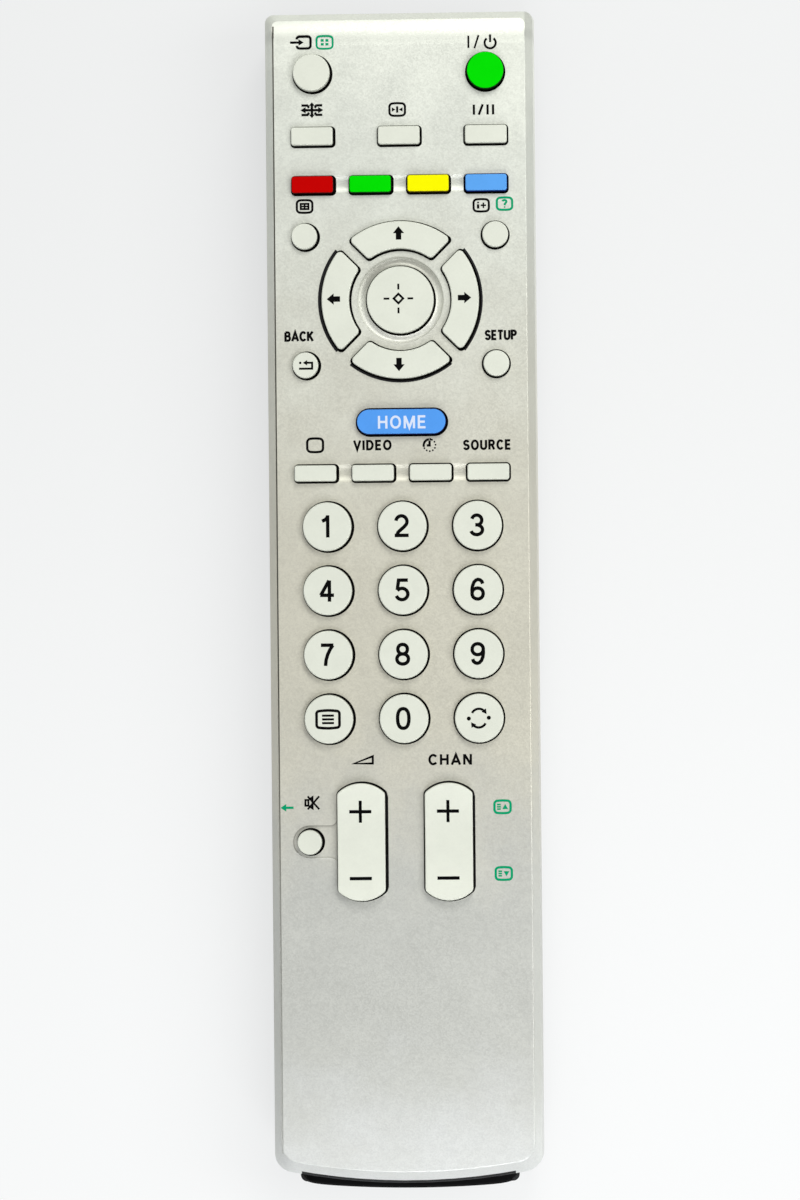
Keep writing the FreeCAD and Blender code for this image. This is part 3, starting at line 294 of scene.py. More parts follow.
class Finish(Nodes):
    """Node tree of one material of the object or the floor."""

    def __init__(self, name):
        super().__init__(bpy.data.materials.new(name))
        self.place = self.node("ShaderNodeTexCoord", {}, {}, "Object")

    def noise(self, size, detail=2.0, roughness=0.5, place=None):
        """Noise from 0 to 1 with features of about this size in metres."""
        inputs = {"Vector": place or self.place, "Scale": 1 / size, "Detail": detail, "Roughness": roughness}
        return self.node("ShaderNodeTexNoise", {}, inputs, "Fac")

    def grains(self, size):
        """Random level of each grain of about this size."""
        colour = self.node("ShaderNodeTexVoronoi", {}, {"Vector": self.place, "Scale": 1 / size}, "Color")
        return self.node("ShaderNodeSeparateColor", {}, {"Color": colour}, "Red")

    def spread(self, value, low, high, to_low=0.0, to_high=1.0):
        """Smooth step of a value between two levels."""
        inputs = {"Value": value, "From Min": low, "From Max": high, "To Min": to_low, "To Max": to_high}
        return self.node("ShaderNodeMapRange", {"interpolation_type": "SMOOTHSTEP"}, inputs)

    def axis(self, name):
        """One coordinate of the place, in metres."""
        return self.node("ShaderNodeSeparateXYZ", {}, {"Vector": self.place}, name)

    def mix(self, share, first, second, blend="MIX"):
        """Colour between two colours, or the first one blended with the second."""
        pair = [value if isinstance(value, Value) else (*value, 1.0) for value in (first, second)]
        inputs = {0: share, 6: pair[0], 7: pair[1]}
        return self.node("ShaderNodeMix", {"data_type": "RGBA", "blend_type": blend}, inputs, 2)

    def tones(self, value, low, high, first, second):
        """Colour that goes from one to another as a value passes from a low to a high level."""
        return self.mix(self.spread(value, low, high), first, second)

    def bump(self, height, distance, strength):
        """Normal of a height map, distance in metres."""
        return self.node("ShaderNodeBump", {}, {"Height": height, "Distance": distance, "Strength": strength})

    def surface(self, **sockets):
        """Principled surface and output of the material."""
        named = {name.replace("_", " "): value for name, value in sockets.items()}
        return self.output(self.node("ShaderNodeBsdfPrincipled", {}, named))


def shade(colour, factor):
    """A colour made darker or lighter."""
    return tuple(min(part * factor, 1.0) for part in colour)


def uneven(middle, *patterns):
    """Level that swings about its middle with each pattern, by the share given with it."""
    for pattern, share in patterns:
        middle = middle + (pattern - 0.5) * share
    return middle


def centre(node):
    """Middle of a CAD node's box."""
    low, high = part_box(node)
    return (low + high) / 2


def top_of(node):
    """Height of a CAD node's top."""
    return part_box(node)[1].z


def silver_paint(looks):
    """Satin silver paint with fine flakes and soft clouds, over dark plastic that shows inside."""
    finish = Finish("silver paint")
    flakes = finish.grains(looks.flake)
    clouds = finish.noise(0.009, 3.0, 0.55)
    blotches = finish.noise(0.0026, 2.0, 0.6)
    specks = finish.spread(finish.noise(0.0007, 1.0), 0.68, 0.76)
    level = uneven(0.5, (flakes, 0.24), (clouds, 0.44), (blotches, 0.20)) - specks * 0.12
    along = uneven(finish.axis("Y"), (clouds, 0.03))
    # Tones from the tail to the head: partly the paint's own tint, partly painted light and shade
    tone = looks.tail
    for start, end, next_tone in (
            (-0.108, -0.074, looks.lower), (-0.058, -0.016, looks.shaded_middle),
            (0.000, 0.085, looks.silver), (0.080, 0.096, looks.head)):
        tone = finish.tones(along, start, end, tone, next_tone)
    painted = finish.mix(1.0, tone, finish.spread(level, 0.0, 1.0, 0.87, 1.10), "MULTIPLY")
    # Painted shade on the roll-off at the head end and down the right bevel
    painted = roll_and_rim(finish, painted)
    bare = finish.mix(blotches, shade(looks.dark, 0.45), shade(looks.dark, 0.8))
    # Painted shade in the joint line
    painted = finish.mix(joint_line(finish), painted, shade(looks.shaded_middle, 0.2))
    # Painted shade round the direction keys and in the dish's upper half, painted highlight in its lower half
    outline, dish, glow = pad_marks(finish)
    painted = finish.mix(dish * 0.5, painted, shade(looks.shaded_middle, 0.35))
    painted = finish.mix(glow * 0.4, painted, EDGE_LIGHT)
    painted = finish.mix(outline, painted, looks.dark)
    # Painted shade and painted highlight on the edges of the recess round the mute key
    shadow, light = recess_marks(finish)
    painted = finish.mix(shadow * 0.5, painted, shade(looks.shaded_middle, 0.3))
    painted = finish.mix(light * 0.5, painted, EDGE_LIGHT)
    # Painted shade beside the rockers
    painted = finish.mix(rocker_marks(finish), painted, looks.dark)
    inside = under_face(finish) + tail_panel(finish)
    rough = uneven(looks.gloss, (flakes, 0.16), (clouds, 0.06)) + inside * 0.3
    peel = finish.noise(0.0011, 2.0)
    normal = finish.bump(flakes * 0.25 + peel, 0.000018, 0.5)
    return finish.surface(
        Base_Color=finish.mix(inside, painted, bare), Metallic=(1 - inside) * looks.metal,
        Roughness=rough, Normal=normal)


def roll_and_rim(finish, painted):
    """Painted shade: the paint darkened over the roll-off at the head end and on past it to the end, and down
    the right bevel.
    """
    along = finish.axis("Y")
    rolled = finish.spread(along, 0.0984, 0.1001) * finish.spread(along, 0.1014, 0.1004)
    end = finish.spread(along, 0.1003, 0.1014)
    rim = finish.spread(finish.axis("X"), 0.0222, 0.0226) * finish.spread(along, -0.090, 0.060)
    rim = rim * finish.spread(finish.axis("Z"), 0.0172, 0.0180)
    for mask, level in ((rolled, 0.82), (end, 0.90), (rim, 0.73)):
        painted = finish.mix(mask, painted, (level, level, level), "MULTIPLY")
    return painted


def under_face(finish):
    """1 where the walls of the openings and the inside of the cover are, below the paint."""
    low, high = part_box("top_cover")
    room = finish.axis("X").within(low.x + INSIDE_SIDE, high.x - INSIDE_SIDE)
    room = room * finish.axis("Y").within(low.y + INSIDE_TAIL, high.y - INSIDE_HEAD)
    return room * (finish.axis("Z") < high.z - INSIDE_DEPTH)


def joint_line(finish):
    """1 inside the fine joint line down the left side of the face, where it is painted dark as painted shade,
    fading towards the tail end.
    """
    low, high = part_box("top_cover")
    along = finish.axis("Y")
    line = finish.axis("X").within(low.x + LINE_LEFT, low.x + LINE_RIGHT)
    line = line * (finish.axis("Z") < high.z - LINE_DEPTH)
    line = line * along.within(low.y + LINE_TAIL, high.y - LINE_HEAD)
    return line * finish.spread(along, -0.070, -0.010, 0.15, 1.0)


def pad_marks(finish):
    """1 in the direction keys' dark outline and the upper half of the dish inside them, both painted shade,
    and in the dish's lower half, a painted highlight.
    """
    side = centre("left_key")
    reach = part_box("up_key")[1].y - side.y - KEY_FLANGE
    across = finish.axis("X") - centre("up_key").x
    along = finish.axis("Y") - side.y
    radius = (across * across + along * along).maths("SQRT")
    off_spoke = (across.maths("ABSOLUTE") - along.maths("ABSOLUTE")).maths("ABSOLUTE") > radius * 0.16
    outline = radius.within(reach + OUTLINE_START, reach + OUTLINE_END) * off_spoke * (along < reach * 0.74)
    band = finish.spread(radius, 0.0081, 0.0071)
    dish = band * finish.spread(along, -0.001, 0.0045)
    glow = band * finish.spread(along, -0.0005, -0.005)
    return outline, dish, glow


def recess_marks(finish):
    """1 along the upper and left edge of the recess round the mute key, painted shade, and along its lower
    edge, painted highlight.
    """
    across = finish.axis("X")
    aside = across - RECESS_X
    beside = aside.maths("MINIMUM", aside, 0.0)
    up = finish.axis("Y") - RECESS_Y
    straight = ((beside * beside + up * up).maths("SQRT") - RECESS_HALF).maths("ABSOLUTE")
    reach = up.maths("ABSOLUTE") - RECESS_HALF - FLARE
    into = across - (MOUTH - FLARE)
    curved = ((into * into + reach * reach).maths("SQRT") - FLARE).maths("ABSOLUTE")
    before = across < MOUTH - FLARE
    edge = (straight < RECESS_EDGE) * before + (curved < RECESS_EDGE) * (1 - before) * (reach < 0)
    edge = edge * (across < MOUTH) * (finish.axis("Z") > FACE_TOP - 0.0004)
    low_side = up < -RECESS_LIGHT
    return edge * (1 - low_side), edge * low_side


def rocker_marks(finish):
    """1 in a dark line of painted shade down the right side of each rocker's opening."""
    lines = 0
    for name in ROCKERS:
        away = finish.axis("X") - (centre(name).x * OPENING_SHARE + ROCKER_REACH)
        lines = away.within(0, ROCKER_LINE) + lines
    off_middle = (finish.axis("Y") - centre("channel_rocker").y).maths("ABSOLUTE")
    return lines * finish.spread(off_middle, ROCKER_HALF + ROCKER_FADE, ROCKER_HALF)


def tail_panel(finish):
    """1 where the middle of the end wall at the tail is painted dark, below the bevel."""
    panel = (finish.axis("X").maths("ABSOLUTE") < PANEL_HALF) * (finish.axis("Z") < PANEL_TOP)
    return panel * (finish.axis("Y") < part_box("top_cover")[0].y + PANEL_DEPTH)


def moulded_plastic(name, colour, roughness, speckle=0.06, grain=0.0004, depth=0.000008, shine=0.35):
    """Moulded plastic with faint clouds, fine speckle and a fine grain in its gloss."""
    finish = Finish(name)
    clouds = finish.noise(0.006, 3.0, 0.55)
    speckles = finish.noise(grain, 2.0)
    level = uneven(0.5, (clouds, 0.8), (speckles, 0.5))
    tint = finish.tones(level, 0.1, 0.9, shade(colour, 1 - speckle), shade(colour, 1 + speckle))
    rough = uneven(roughness, (speckles, 0.12), (clouds, 0.06))
    normal = finish.bump(speckles, depth, 0.6)
    return finish.surface(Base_Color=tint, Roughness=rough, Normal=normal, Specular_IOR_Level=shine)


def key_plastic(name, colour, edge_colour, roughness, top, edge, shine=0.14):
    """Key cap: its colour on top, a deeper one round its edge, partly the plastic's own and partly painted
    shade, and dark rubber below the face, which also darkens the gaps round the key as painted shade.
    """
    finish = Finish(name)
    height = finish.axis("Z")
    clouds = finish.noise(0.0035, 3.0, 0.6)
    speckles = finish.noise(0.0004, 2.0)
    level = uneven(0.5, (clouds, 0.9), (speckles, 0.4))
    face = finish.tones(level, 0.1, 0.9, shade(colour, 0.955), shade(colour, 1.03))
    # Deeper colour round the top edge: partly the plastic's own, partly painted shade
    tint = finish.tones(height, top - edge, top - 0.00001, edge_colour, face)
    # Dark rubber below the face, which also stands as painted shade in the gaps round the key
    rubber = finish.mix(speckles, srgb(26, 24, 20), srgb(38, 35, 30))
    tint = finish.mix(height > FACE_TOP - 0.0001, rubber, tint)
    rough = uneven(roughness, (speckles, 0.10), (clouds, 0.08))
    normal = finish.bump(speckles, 0.000006, 0.5)
    return finish.surface(Base_Color=tint, Roughness=rough, Normal=normal, Specular_IOR_Level=shine)


def printing_ink(name, colour):
    """Ink with a slightly uneven film."""
    finish = Finish(name)
    film = finish.noise(0.00016, 2.0)
    patches = finish.noise(0.0012, 2.0)
    level = uneven(0.5, (film, 0.6), (patches, 0.6))
    lift = tuple(min(part + 0.003, 1.0) for part in colour)
    tint = finish.tones(level, 0.35, 0.95, colour, lift)
    rough = uneven(0.52, (film, 0.2))
    normal = finish.bump(film, 0.000004, 0.6)
    return finish.surface(Base_Color=tint, Roughness=rough, Normal=normal, Specular_IOR_Level=0.05)


def brushed_metal(name, colour, roughness):
    """Stamped or drawn metal with fine lines and faint tarnish."""
    finish = Finish(name)
    stretched = finish.node(
        "ShaderNodeMapping", {}, {"Vector": finish.place, "Scale": (1.0, 0.08, 1.0)})
    lines = finish.noise(0.00012, 3.0, 0.6, stretched)
    tarnish = finish.noise(0.003, 3.0, 0.6)
    tint = finish.tones(tarnish, 0.3, 0.8, colour, shade(colour, 0.78))
    rough = uneven(roughness, (lines, 0.25), (tarnish, 0.15))
    return finish.surface(
        Base_Color=tint, Metallic=1.0, Roughness=rough, Normal=finish.bump(lines, 0.000006, 0.5))


def wrapped_cell(name):
    """Printed cell sleeve: dark jacket, a green band and bare metal ends."""
    finish = Finish(name)
    low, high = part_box("left_cell")
    along = finish.axis("Y")
    band = along.within(high.y - 0.017, high.y - 0.0035)
    ends = 1 - along.within(low.y + 0.0012, high.y - 0.0022)
    wear = finish.noise(0.0008, 3.0)
    jacket = finish.tones(wear, 0.3, 0.8, srgb(52, 58, 64), srgb(70, 76, 82))
    printed = finish.mix(band, jacket, srgb(36, 128, 92))
    tint = finish.mix(ends, printed, srgb(196, 196, 190))
    rough = uneven(0.36, (wear, 0.2))
    return finish.surface(
        Base_Color=tint, Metallic=ends * 0.9, Roughness=rough, Normal=finish.bump(wear, 0.00001, 0.4))


def laminate_board(name):
    """Paper laminate board with fibres and a faint green mask."""
    finish = Finish(name)
    fibres = finish.noise(0.0006, 4.0, 0.6)
    clouds = finish.noise(0.006, 2.0)
    tint = finish.tones(fibres, 0.3, 0.7, srgb(120, 92, 48), srgb(146, 116, 66))
    masked = finish.tones(clouds, 0.35, 0.6, tint, srgb(92, 104, 52))
    rough = uneven(0.5, (fibres, 0.2))
    return finish.surface(Base_Color=masked, Roughness=rough, Normal=finish.bump(fibres, 0.00002, 0.5))


def smoked_window(name):
    """Dark red window that lets infrared through."""
    finish = Finish(name)
    haze = finish.noise(0.002, 3.0)
    dust = finish.spread(finish.noise(0.0003, 2.0), 0.68, 0.78)
    tint = finish.tones(haze, 0.2, 0.8, srgb(26, 6, 10), srgb(38, 9, 14))
    tint = finish.mix(dust * 0.2, tint, srgb(150, 140, 135))
    return finish.surface(
        Base_Color=tint, Roughness=0.12 + haze * 0.08 + dust * 0.2, Coat_Weight=0.3, Coat_Roughness=0.1)


def clear_lens(name):
    """Faintly tinted lens of the emitter."""
    finish = Finish(name)
    swirl = finish.noise(0.001, 2.0)
    tint = finish.tones(swirl, 0.3, 0.7, srgb(170, 176, 205), srgb(196, 202, 226))
    return finish.surface(Base_Color=tint, Roughness=0.12 + swirl * 0.1, Coat_Weight=0.5, Coat_Roughness=0.05)


def dress(material, *names):
    """Give a finish to CAD nodes."""
    for name in names:
        mesh = NODES[name].data
        mesh.materials.clear()
        mesh.materials.append(material)


def add_object(name, data):
    """Put a new object in the scene."""
    made = bpy.data.objects.new(name, data)
    bpy.context.scene.collection.objects.link(made)
    return made


def add_mesh(name, points, faces, material):
    """Put a new mesh with one material in the scene."""
    mesh = bpy.data.meshes.new(name)
    mesh.from_pydata(points, [], faces)
    mesh.validate()
    mesh.materials.append(material)
    return add_object(name, mesh)


CREAM_KEYS = (
    "input_key", "zoom_key", "freeze_key", "audio_key", "guide_key", "info_key", "back_key", "setup_key",
    "enter_key", "screen_key", "video_key", "timer_key", "source_key", "text_key", "swap_key", "mute_key",
    "right_key", "up_key", "left_key", "down_key",
) + ROCKERS + DIGIT_KEYS


class REMOTE_OT_case_finish(bpy.types.Operator):
    """Paint the top cover and finish the bottom cover, the door and the window"""
    bl_idname = "remote.case_finish"
    bl_label = "Finish the case"

    def execute(self, context):
        looks = context.scene.remote_case
        dress(silver_paint(looks), "top_cover")
        dress(moulded_plastic("dark cover plastic", looks.dark, 0.5, 0.12, 0.0005, 0.00003), "bottom_cover")
        dress(moulded_plastic("dark door plastic", looks.dark, 0.44, 0.12, 0.0005, 0.00003), "battery_door")
        dress(smoked_window("smoked window"), "ir_window")
        return {"FINISHED"}


class REMOTE_OT_tail_strip(bpy.types.Operator):
    """Make the dark bowed strip under the silver edge at the tail end"""
    bl_idname = "remote.tail_strip"
    bl_label = "Make the tail strip"

    def execute(self, context):
        looks = context.scene.remote_strip
        points = []
        for step in range(STRIP_STEPS + 1):
            section = self.section(looks, 2 * step / STRIP_STEPS - 1)
            points += section
        count = len(section)
        faces = [list(range(count)), [len(points) - 1 - index for index in range(count)]]
        for start in range(0, STRIP_STEPS * count, count):
            for corner in range(count):
                after = (corner + 1) % count
                faces.append([start + after, start + corner, start + count + corner, start + count + after])
        dark = shade(context.scene.remote_case.dark, 0.4)
        plastic = moulded_plastic("dark strip plastic", dark, 0.6, 0.12, 0.0005, 0.00003, 0.08)
        strip = add_mesh("tail_strip", points, faces, plastic)
        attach(strip, "root")
        return {"FINISHED"}

    def section(self, looks, across):
        """Corners of the strip's section at a place across it, -1 at its left end and 1 at its right."""
        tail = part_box("top_cover")[0].y
        low = top_of("battery_door") + STRIP_GAP
        x = looks.half * across
        fade = math.sqrt(max(1 - abs(across) ** STRIP_SQUARE, 0.0))
        outer = tail - looks.proud + x * x / (2 * looks.bow) + looks.proud * STRIP_DRAWN_IN * (1 - fade)
        inner = tail + looks.inset + x * x / (2 * looks.inner_bow)
        high = low + looks.height * (STRIP_END_HEIGHT + (1 - STRIP_END_HEIGHT) * fade)
        flat = looks.flat
        return [(x, inner, low), (x, outer + flat, low), (x, outer, low + flat),
                (x, outer, high - flat), (x, outer + flat, high), (x, inner, high)]


class REMOTE_OT_key_finish(bpy.types.Operator):
    """Finish the keys in their own colours"""
    bl_idname = "remote.key_finish"
    bl_label = "Finish the keys"

    def execute(self, context):
        looks = context.scene.remote_keys
        # Plain keys: a darker colour round the top edge as painted shade, reaching 1.8 mm down on the
        # rockers, whose cream is 8 % lighter
        for name in CREAM_KEYS:
            rocker = name in ROCKERS
            tone = shade(looks.cream, 1.08 if rocker else 1.0)
            edge = 0.0018 if rocker else 0.00014
            side = shade(looks.cream, 0.74)
            dress(key_plastic(name + " cream", tone, side, 0.42, top_of(name), edge), name)
        # Key, colour, deeper edge colour (partly the plastic's own, partly painted shade), and how far below
        # the top the edge colour is full
        coloured = (
            ("power_key", looks.green, srgb(0, 60, 2), 0.00008),
            ("red_key", looks.red, srgb(62, 0, 2), 0.00010),
            ("green_key", looks.green, srgb(0, 66, 2), 0.00010),
            ("yellow_key", looks.yellow, srgb(96, 78, 0), 0.00010),
            ("blue_key", looks.blue, srgb(14, 36, 120), 0.00010),
            ("home_key", looks.home, srgb(2, 8, 82), 0.00007),
        )
        for name, colour, edge_colour, edge in coloured:
            dress(key_plastic(name + " plastic", colour, edge_colour, 0.34, top_of(name), edge, 0.04), name)
        return {"FINISHED"}


class REMOTE_OT_inside_finish(bpy.types.Operator):
    """Finish the board, the mat, the cells and the metal inside"""
    bl_idname = "remote.inside_finish"
    bl_label = "Finish the inside"

    def execute(self, context):
        dress(laminate_board("laminate board"), "circuit_board")
        dress(moulded_plastic("mat rubber", srgb(92, 92, 90), 0.7, 0.08, 0.0006, 0.00002), "keypad_mat")
        dress(moulded_plastic("printed carbon", srgb(24, 24, 25), 0.6, 0.2, 0.0002), "contact_pads")
        dress(moulded_plastic("chip epoxy", srgb(30, 30, 32), 0.55, 0.15, 0.0002),
              "controller_chip", "led_transistor", "resistors")
        dress(moulded_plastic("resonator cap", srgb(206, 120, 36), 0.4, 0.06), "resonator")
        dress(moulded_plastic("capacitor sleeve", srgb(34, 40, 84), 0.35, 0.1), "capacitor")
        dress(clear_lens("emitter lens"), "ir_led")
        dress(wrapped_cell("cell sleeve"), "left_cell", "right_cell")
        dress(brushed_metal("plated spring steel", srgb(196, 194, 186), 0.3),
              "cell_springs", "link_contact", "terminals")
        dress(brushed_metal("zinc screw", srgb(176, 176, 170), 0.35), "case_screws")
        return {"FINISHED"}


class Print:
    """Flat shapes of one legend, with the thickness of a print."""

    def __init__(self, x, y, top, height, sink=0.02):
        self.origin = (x, y)
        self.top = top
        self.height = height
        self.sink = sink
        self.layers = 0
        self.points = []
        self.faces = []

    def surface(self, x, y):
        """Height of the printed surface under a point."""
        return self.top

    def ring(self, outline):
        """Add an outline's top and bottom, above the last one's, and give its first number and length."""
        first = len(self.points)
        count = len(outline)
        step = self.layers * LAYER
        self.layers += 1
        for lift in (self.height + step, step - self.sink):
            for x, y in outline:
                px = self.origin[0] + x
                py = self.origin[1] + y
                self.points.append((px * MM, py * MM, (self.surface(px, py) + lift) * MM))
        return first, count

    def fill(self, outline):
        """Solid shape inside an outline."""
        first, count = self.ring(outline)
        top = [first + index for index in range(count)]
        low = [first + count + index for index in range(count)]
        self.faces.append(top)
        self.faces.append(low[::-1])
        for index in range(count):
            after = (index + 1) % count
            self.faces.append([top[after], top[index], low[index], low[after]])

    def stroke(self, path, width):
        """Line of even width along a path, which is closed where it ends at its start."""
        closed = path[0] == path[-1]
        left, right = offset_sides(path[:-1] if closed else path, width / 2, closed)
        first, count = self.ring(left + right)
        half = len(left)
        steps = half if closed else half - 1
        for index in range(steps):
            after = (index + 1) % half
            corners = [first + index, first + after, first + half + after, first + half + index]
            low = [corner + count for corner in corners]
            self.faces.append(corners[::-1])
            self.faces.append(low)
            self.faces.append([corners[0], corners[1], low[1], low[0]])
            self.faces.append([corners[2], corners[3], low[3], low[2]])
        if not closed:
            ends = ((first + half, first), (first + half - 1, first + 2 * half - 1))
            for start, end in ends:
                self.faces.append([start, end, end + count, start + count])

    def build(self, name, ink, body):
        """Make the mesh and let it ride on a body."""
        piece = add_mesh(name, self.points, self.faces, ink)
        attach(piece, body)


def offset_sides(path, reach, closed):
    """Both sides of a path, mitred at its corners."""
    left = []
    right = []
    count = len(path)
    for index, (x, y) in enumerate(path):
        before = path[index - 1] if closed or index > 0 else None
        after = path[(index + 1) % count] if closed or index < count - 1 else None
        along = []
        for start, end in ((before, (x, y)), ((x, y), after)):
            if start and end:
                run = math.hypot(end[0] - start[0], end[1] - start[1])
                along.append(((end[0] - start[0]) / run, (end[1] - start[1]) / run))
        if len(along) == 1:
            along.append(along[0])
        normal = (-(along[0][1] + along[1][1]), along[0][0] + along[1][0])
        length = math.hypot(*normal)
        normal = (normal[0] / length, normal[1] / length)
        lean = max(normal[1] * along[0][0] - normal[0] * along[0][1], 0.35)
        left.append((x + normal[0] * reach / lean, y + normal[1] * reach / lean))
        right.append((x - normal[0] * reach / lean, y - normal[1] * reach / lean))
    return left, right


def arc(x, y, radius_x, radius_y, start, end, steps=18):
    """Points on an elliptical arc, angles in degrees."""
    points = []
    for index in range(steps + 1):
        angle = math.radians(start + (end - start) * index / steps)
        points.append((x + radius_x * math.cos(angle), y + radius_y * math.sin(angle)))
    return points


def circle(x, y, radius, steps):
    """Points round a circle, for a filled shape."""
    return arc(x, y, radius, radius, 0, 360 * (steps - 1) / steps, steps - 1)


def oval(x, y, radius_x, radius_y, square):
    """Closed path round an oval, squarer than an ellipse when square is above 2."""
    steps = 36
    points = []
    for index in range(steps):
        angle = 2 * math.pi * index / steps
        across = math.cos(angle)
        up = math.sin(angle)
        points.append((x + radius_x * math.copysign(abs(across) ** (2 / square), across),
                       y + radius_y * math.copysign(abs(up) ** (2 / square), up)))
    return points + points[:1]


def turned(points, turn):
    """Points turned about the middle, in degrees."""
    across = math.cos(math.radians(turn))
    up = math.sin(math.radians(turn))
    return [(x * across - y * up, x * up + y * across) for x, y in points]


def screen_shape(width, height, corner, bulge):
    """Closed path round a box with round corners, bowed top and bowed bottom."""
    half_x = width / 2
    half_y = height / 2
    points = []
    for side, end, start in ((1, 1, 0), (-1, 1, 90), (-1, -1, 180), (1, -1, 270)):
        points += arc(side * (half_x - corner), end * (half_y - corner), corner, corner, start, start + 90, 6)
    bowed = []
    for x, y in points:
        lift = bulge * (1 - (x / half_x) ** 2)
        bowed.append((x, y + math.copysign(lift, y)))
    top = [(x, half_y + bulge * (1 - (x / half_x) ** 2)) for x in (half_x / 3, 0, -half_x / 3)]
    return bowed[:7] + top + bowed[7:21] + [(-x, -y) for x, y in top] + bowed[21:] + bowed[:1]


# Strokes of each digit, for a height of 1, with x from its middle and y from its foot
DIGIT_PATHS = {
    0: [oval(0, 0.5, 0.255, 0.44, 2.35)],
    1: [[(-0.19, 0.735), (-0.07, 0.785), (0.02, 0.86), (0.065, 0.955)], [(0.065, 0), (0.065, 1)]],
    2: [arc(0, 0.685, 0.25, 0.255, 172, -32) + [(0.10, 0.43), (-0.03, 0.32), (-0.15, 0.21), (-0.225, 0.06)],
        [(-0.31, 0.06), (0.32, 0.06)]],
    3: [arc(0, 0.715, 0.225, 0.225, 165, -68), arc(-0.005, 0.28, 0.26, 0.22, 74, -166),
        [(-0.07, 0.505), (0.03, 0.502), (0.12, 0.487)]],
    4: [[(0.115, 0), (0.115, 0.955)], [(0.10, 0.955), (-0.275, 0.29)], [(-0.30, 0.29), (0.32, 0.29)]],
    5: [[(0.265, 0.94), (-0.155, 0.94), (-0.215, 0.50)], arc(-0.005, 0.315, 0.265, 0.255, 142, -162)],
    6: [oval(0.01, 0.305, 0.25, 0.245, 2.1),
        [(-0.24, 0.33), (-0.243, 0.48), (-0.215, 0.66), (-0.15, 0.82), (-0.06, 0.91), (0.03, 0.94),
         (0.13, 0.915), (0.205, 0.85), (0.24, 0.745)]],
    7: [[(-0.29, 0.935), (0.275, 0.935)],
        [(0.245, 0.925), (0.12, 0.74), (0.01, 0.51), (-0.06, 0.27), (-0.09, 0)]],
    8: [oval(0, 0.725, 0.215, 0.215, 2.1), oval(0, 0.285, 0.26, 0.225, 2.1)],
}
DIGIT_PATHS[9] = [[(-x, 1 - y) for x, y in path] for path in DIGIT_PATHS[6]]


def stem_and_bowl(x, radius):
    """Stem of the letters P and R and the bowl at its top."""
    curve = arc(x, 0.71, radius, 0.22, 75, -75, 12)
    return [(0.07, 0), (0.07, 0.93), (x, 0.93)] + curve + [(x, 0.49), (0.07, 0.49)]


# Upright strokes at the left and the right of a letter
STEM = [(0.07, 0), (0.07, 1)]
FAR_STEM = [(0.61, 0), (0.61, 1)]

# Width and strokes of each letter, for a height of 1, with x from its left and y from its foot
LETTERS = {
    "A": (0.74, [[(0.03, 0), (0.37, 0.96), (0.71, 0)], [(0.14, 0.30), (0.60, 0.30)]]),
    "B": (0.64, [[(0.07, 0.93), (0.07, 0.07), (0.36, 0.07)] + arc(0.36, 0.30, 0.21, 0.23, -75, 75, 12)
                 + [(0.34, 0.53), (0.07, 0.53)],
                 [(0.07, 0.93), (0.34, 0.93)] + arc(0.34, 0.73, 0.18, 0.20, 75, -75, 12) + [(0.32, 0.53)]]),
    "C": (0.70, [arc(0.38, 0.5, 0.31, 0.43, 38, 322, 28)]),
    "D": (0.68, [[(0.07, 0.07), (0.07, 0.93), (0.27, 0.93)] + arc(0.27, 0.5, 0.34, 0.43, 80, -80, 20)
                 + [(0.27, 0.07), (0.07, 0.07)]]),
    "E": (0.57, [[(0.55, 0.93), (0.07, 0.93), (0.07, 0.07), (0.56, 0.07)], [(0.07, 0.51), (0.51, 0.51)]]),
    "H": (0.68, [STEM, FAR_STEM, [(0.07, 0.52), (0.61, 0.52)]]),
    "I": (0.14, [STEM]),
    "K": (0.66, [STEM, [(0.60, 1.0), (0.08, 0.36)], [(0.26, 0.58), (0.62, 0.0)]]),
    "M": (0.82, [[(0.07, 0), (0.07, 0.98)], [(0.75, 0), (0.75, 0.98)],
                 [(0.09, 0.97), (0.41, 0.06), (0.73, 0.97)]]),
    "N": (0.68, [STEM, FAR_STEM, [(0.09, 0.96), (0.59, 0.04)]]),
    "O": (0.78, [oval(0.39, 0.5, 0.32, 0.43, 2.1)]),
    "P": (0.62, [stem_and_bowl(0.32, 0.22)]),
    "R": (0.66, [stem_and_bowl(0.34, 0.21), [(0.34, 0.49), (0.60, 0)]]),
    "S": (0.63, [arc(0.315, 0.715, 0.225, 0.215, 15, 262, 20)
                 + arc(0.315, 0.287, 0.245, 0.217, 80, -165, 20)]),
    "T": (0.62, [[(0, 0.93), (0.62, 0.93)], [(0.31, 0), (0.31, 0.93)]]),
    "U": (0.68, [[(0.07, 1), (0.07, 0.34)] + arc(0.34, 0.34, 0.27, 0.27, 190, 350, 16)
                 + [(0.61, 0.34), (0.61, 1)]]),
    "V": (0.68, [[(0.03, 1), (0.34, 0.04), (0.65, 1)]]),
    "/": (0.36, [[(0.02, -0.02), (0.34, 1.02)]]),
}


def draw_word(word, width, height, weight, gap):
    """Drawing call for a word of even strokes, fitted to a width and height and centred."""
    plain = sum(LETTERS[letter][0] for letter in word) + gap * (len(word) - 1)
    across = width / plain

    def draw(prints):
        left = -width / 2
        for letter in word:
            advance, paths = LETTERS[letter]
            for path in paths:
                prints.stroke([(left + x * across, (y - 0.5) * height) for x, y in path], weight)
            left += (advance + gap) * across
    return draw


def draw_digit(digit):
    """Drawing call for a digit of an even stroke, centred."""
    def draw(prints):
        for path in DIGIT_PATHS[digit]:
            scaled = [(x * DIGIT_HEIGHT, (y - 0.5) * DIGIT_HEIGHT) for x, y in path]
            prints.stroke(scaled, DIGIT_WEIGHT * DIGIT_HEIGHT)
    return draw


